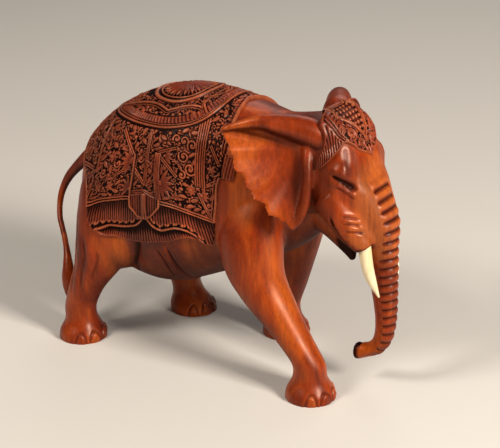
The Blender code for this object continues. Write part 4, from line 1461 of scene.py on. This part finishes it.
def make_camera():
    """The camera at the picture's angle, far enough off for the picture's perspective."""
    azimuth, elevation = math.radians(CAMERA_AZIMUTH), math.radians(CAMERA_ELEVATION)
    out = math.cos(elevation)
    back = Vector((math.sin(azimuth) * out, -math.cos(azimuth) * out, math.sin(elevation)))
    target = Vector((CAMERA_TARGET[0] - ORIGIN[0], CAMERA_TARGET[1] - ORIGIN[1], 0)) * MM
    camera = linked("camera", bpy.data.cameras.new("camera"))
    camera.data.lens = CAMERA_LENS
    camera.data.sensor_width = 36
    camera.data.clip_start = 0.01
    camera.location = target + back * CAMERA_DISTANCE * MM
    camera.rotation_mode = "QUATERNION"
    camera.rotation_quaternion = (-back).to_track_quat("-Z", "Y")
    bpy.context.scene.camera = camera


def make_light(name, place, size, power, colour):
    """A square lamp that shines on the middle of the object."""
    lamp = bpy.data.lights.new(name, "AREA")
    lamp.energy = power
    lamp.size = size
    lamp.color = colour
    obj = linked(name, lamp)
    obj.location = place
    obj.rotation_mode = "QUATERNION"
    obj.rotation_quaternion = (Vector(MIDDLE) - Vector(place)).to_track_quat("-Z", "Y")


def make_lights():
    """Soft studio lamps and a faint warm sky."""
    make_light("key", (-0.45, -0.95, 1.15), 0.4, 14, (1.0, 0.91, 0.80))
    make_light("side", (1.35, -0.22, 0.85), 0.4, 36, (1.0, 0.92, 0.82))
    make_light("back", (-0.3, 1.1, 1.1), 0.8, 4, (1.0, 0.95, 0.9))
    bpy.context.scene.view_settings.view_transform = "Standard"
    world = bpy.data.worlds.new("studio")
    bpy.context.scene.world = world
    world.use_nodes = True
    shade = world.node_tree.nodes["Background"]
    shade.inputs["Color"].default_value = (1.0, 0.93, 0.86, 1)
    shade.inputs["Strength"].default_value = 0.12


def build():
    """Makes every piece and the studio round them."""
    mass = make_mass()
    cloth = make_cloth(mass)
    body = add_thin_parts(mass)
    bpy.data.objects.remove(mass)
    headdress = make_headdress(body)
    refine(body)
    carve_body(body)
    # Each wood's fourth colour is its painted shade and its fifth the lighter tone of wear and painted
    # light.
    plain = wood("carved_hardwood", (0.42, 0.078, 0.006), (0.23, 0.026, 0.002), (0.095, 0.007, 0.0009),
                 (0.018, 0.0028, 0.0012), (0.70, 0.21, 0.04), 0.75)
    stained = wood("stained_hardwood", (0.27, 0.040, 0.013), (0.16, 0.019, 0.006),
                   (0.075, 0.008, 0.003), (0.009, 0.0014, 0.0008), (0.55, 0.16, 0.06), 0.6)
    to_origin(body, plain)
    to_origin(cloth, stained)
    to_origin(headdress, stained)
    for piece in (body, cloth, headdress):
        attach(piece, "root")
    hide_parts("carved_body")
    ivory = bone("polished_bone")
    for side, node in ((-1, "right_tusk"), (1, "left_tusk")):
        tusk = make_tusk(side, "fine_" + node)
        to_origin(tusk, ivory)
        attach(tusk, "root")
        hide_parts(node)
    make_floor()
    make_camera()
    make_lights()


build()
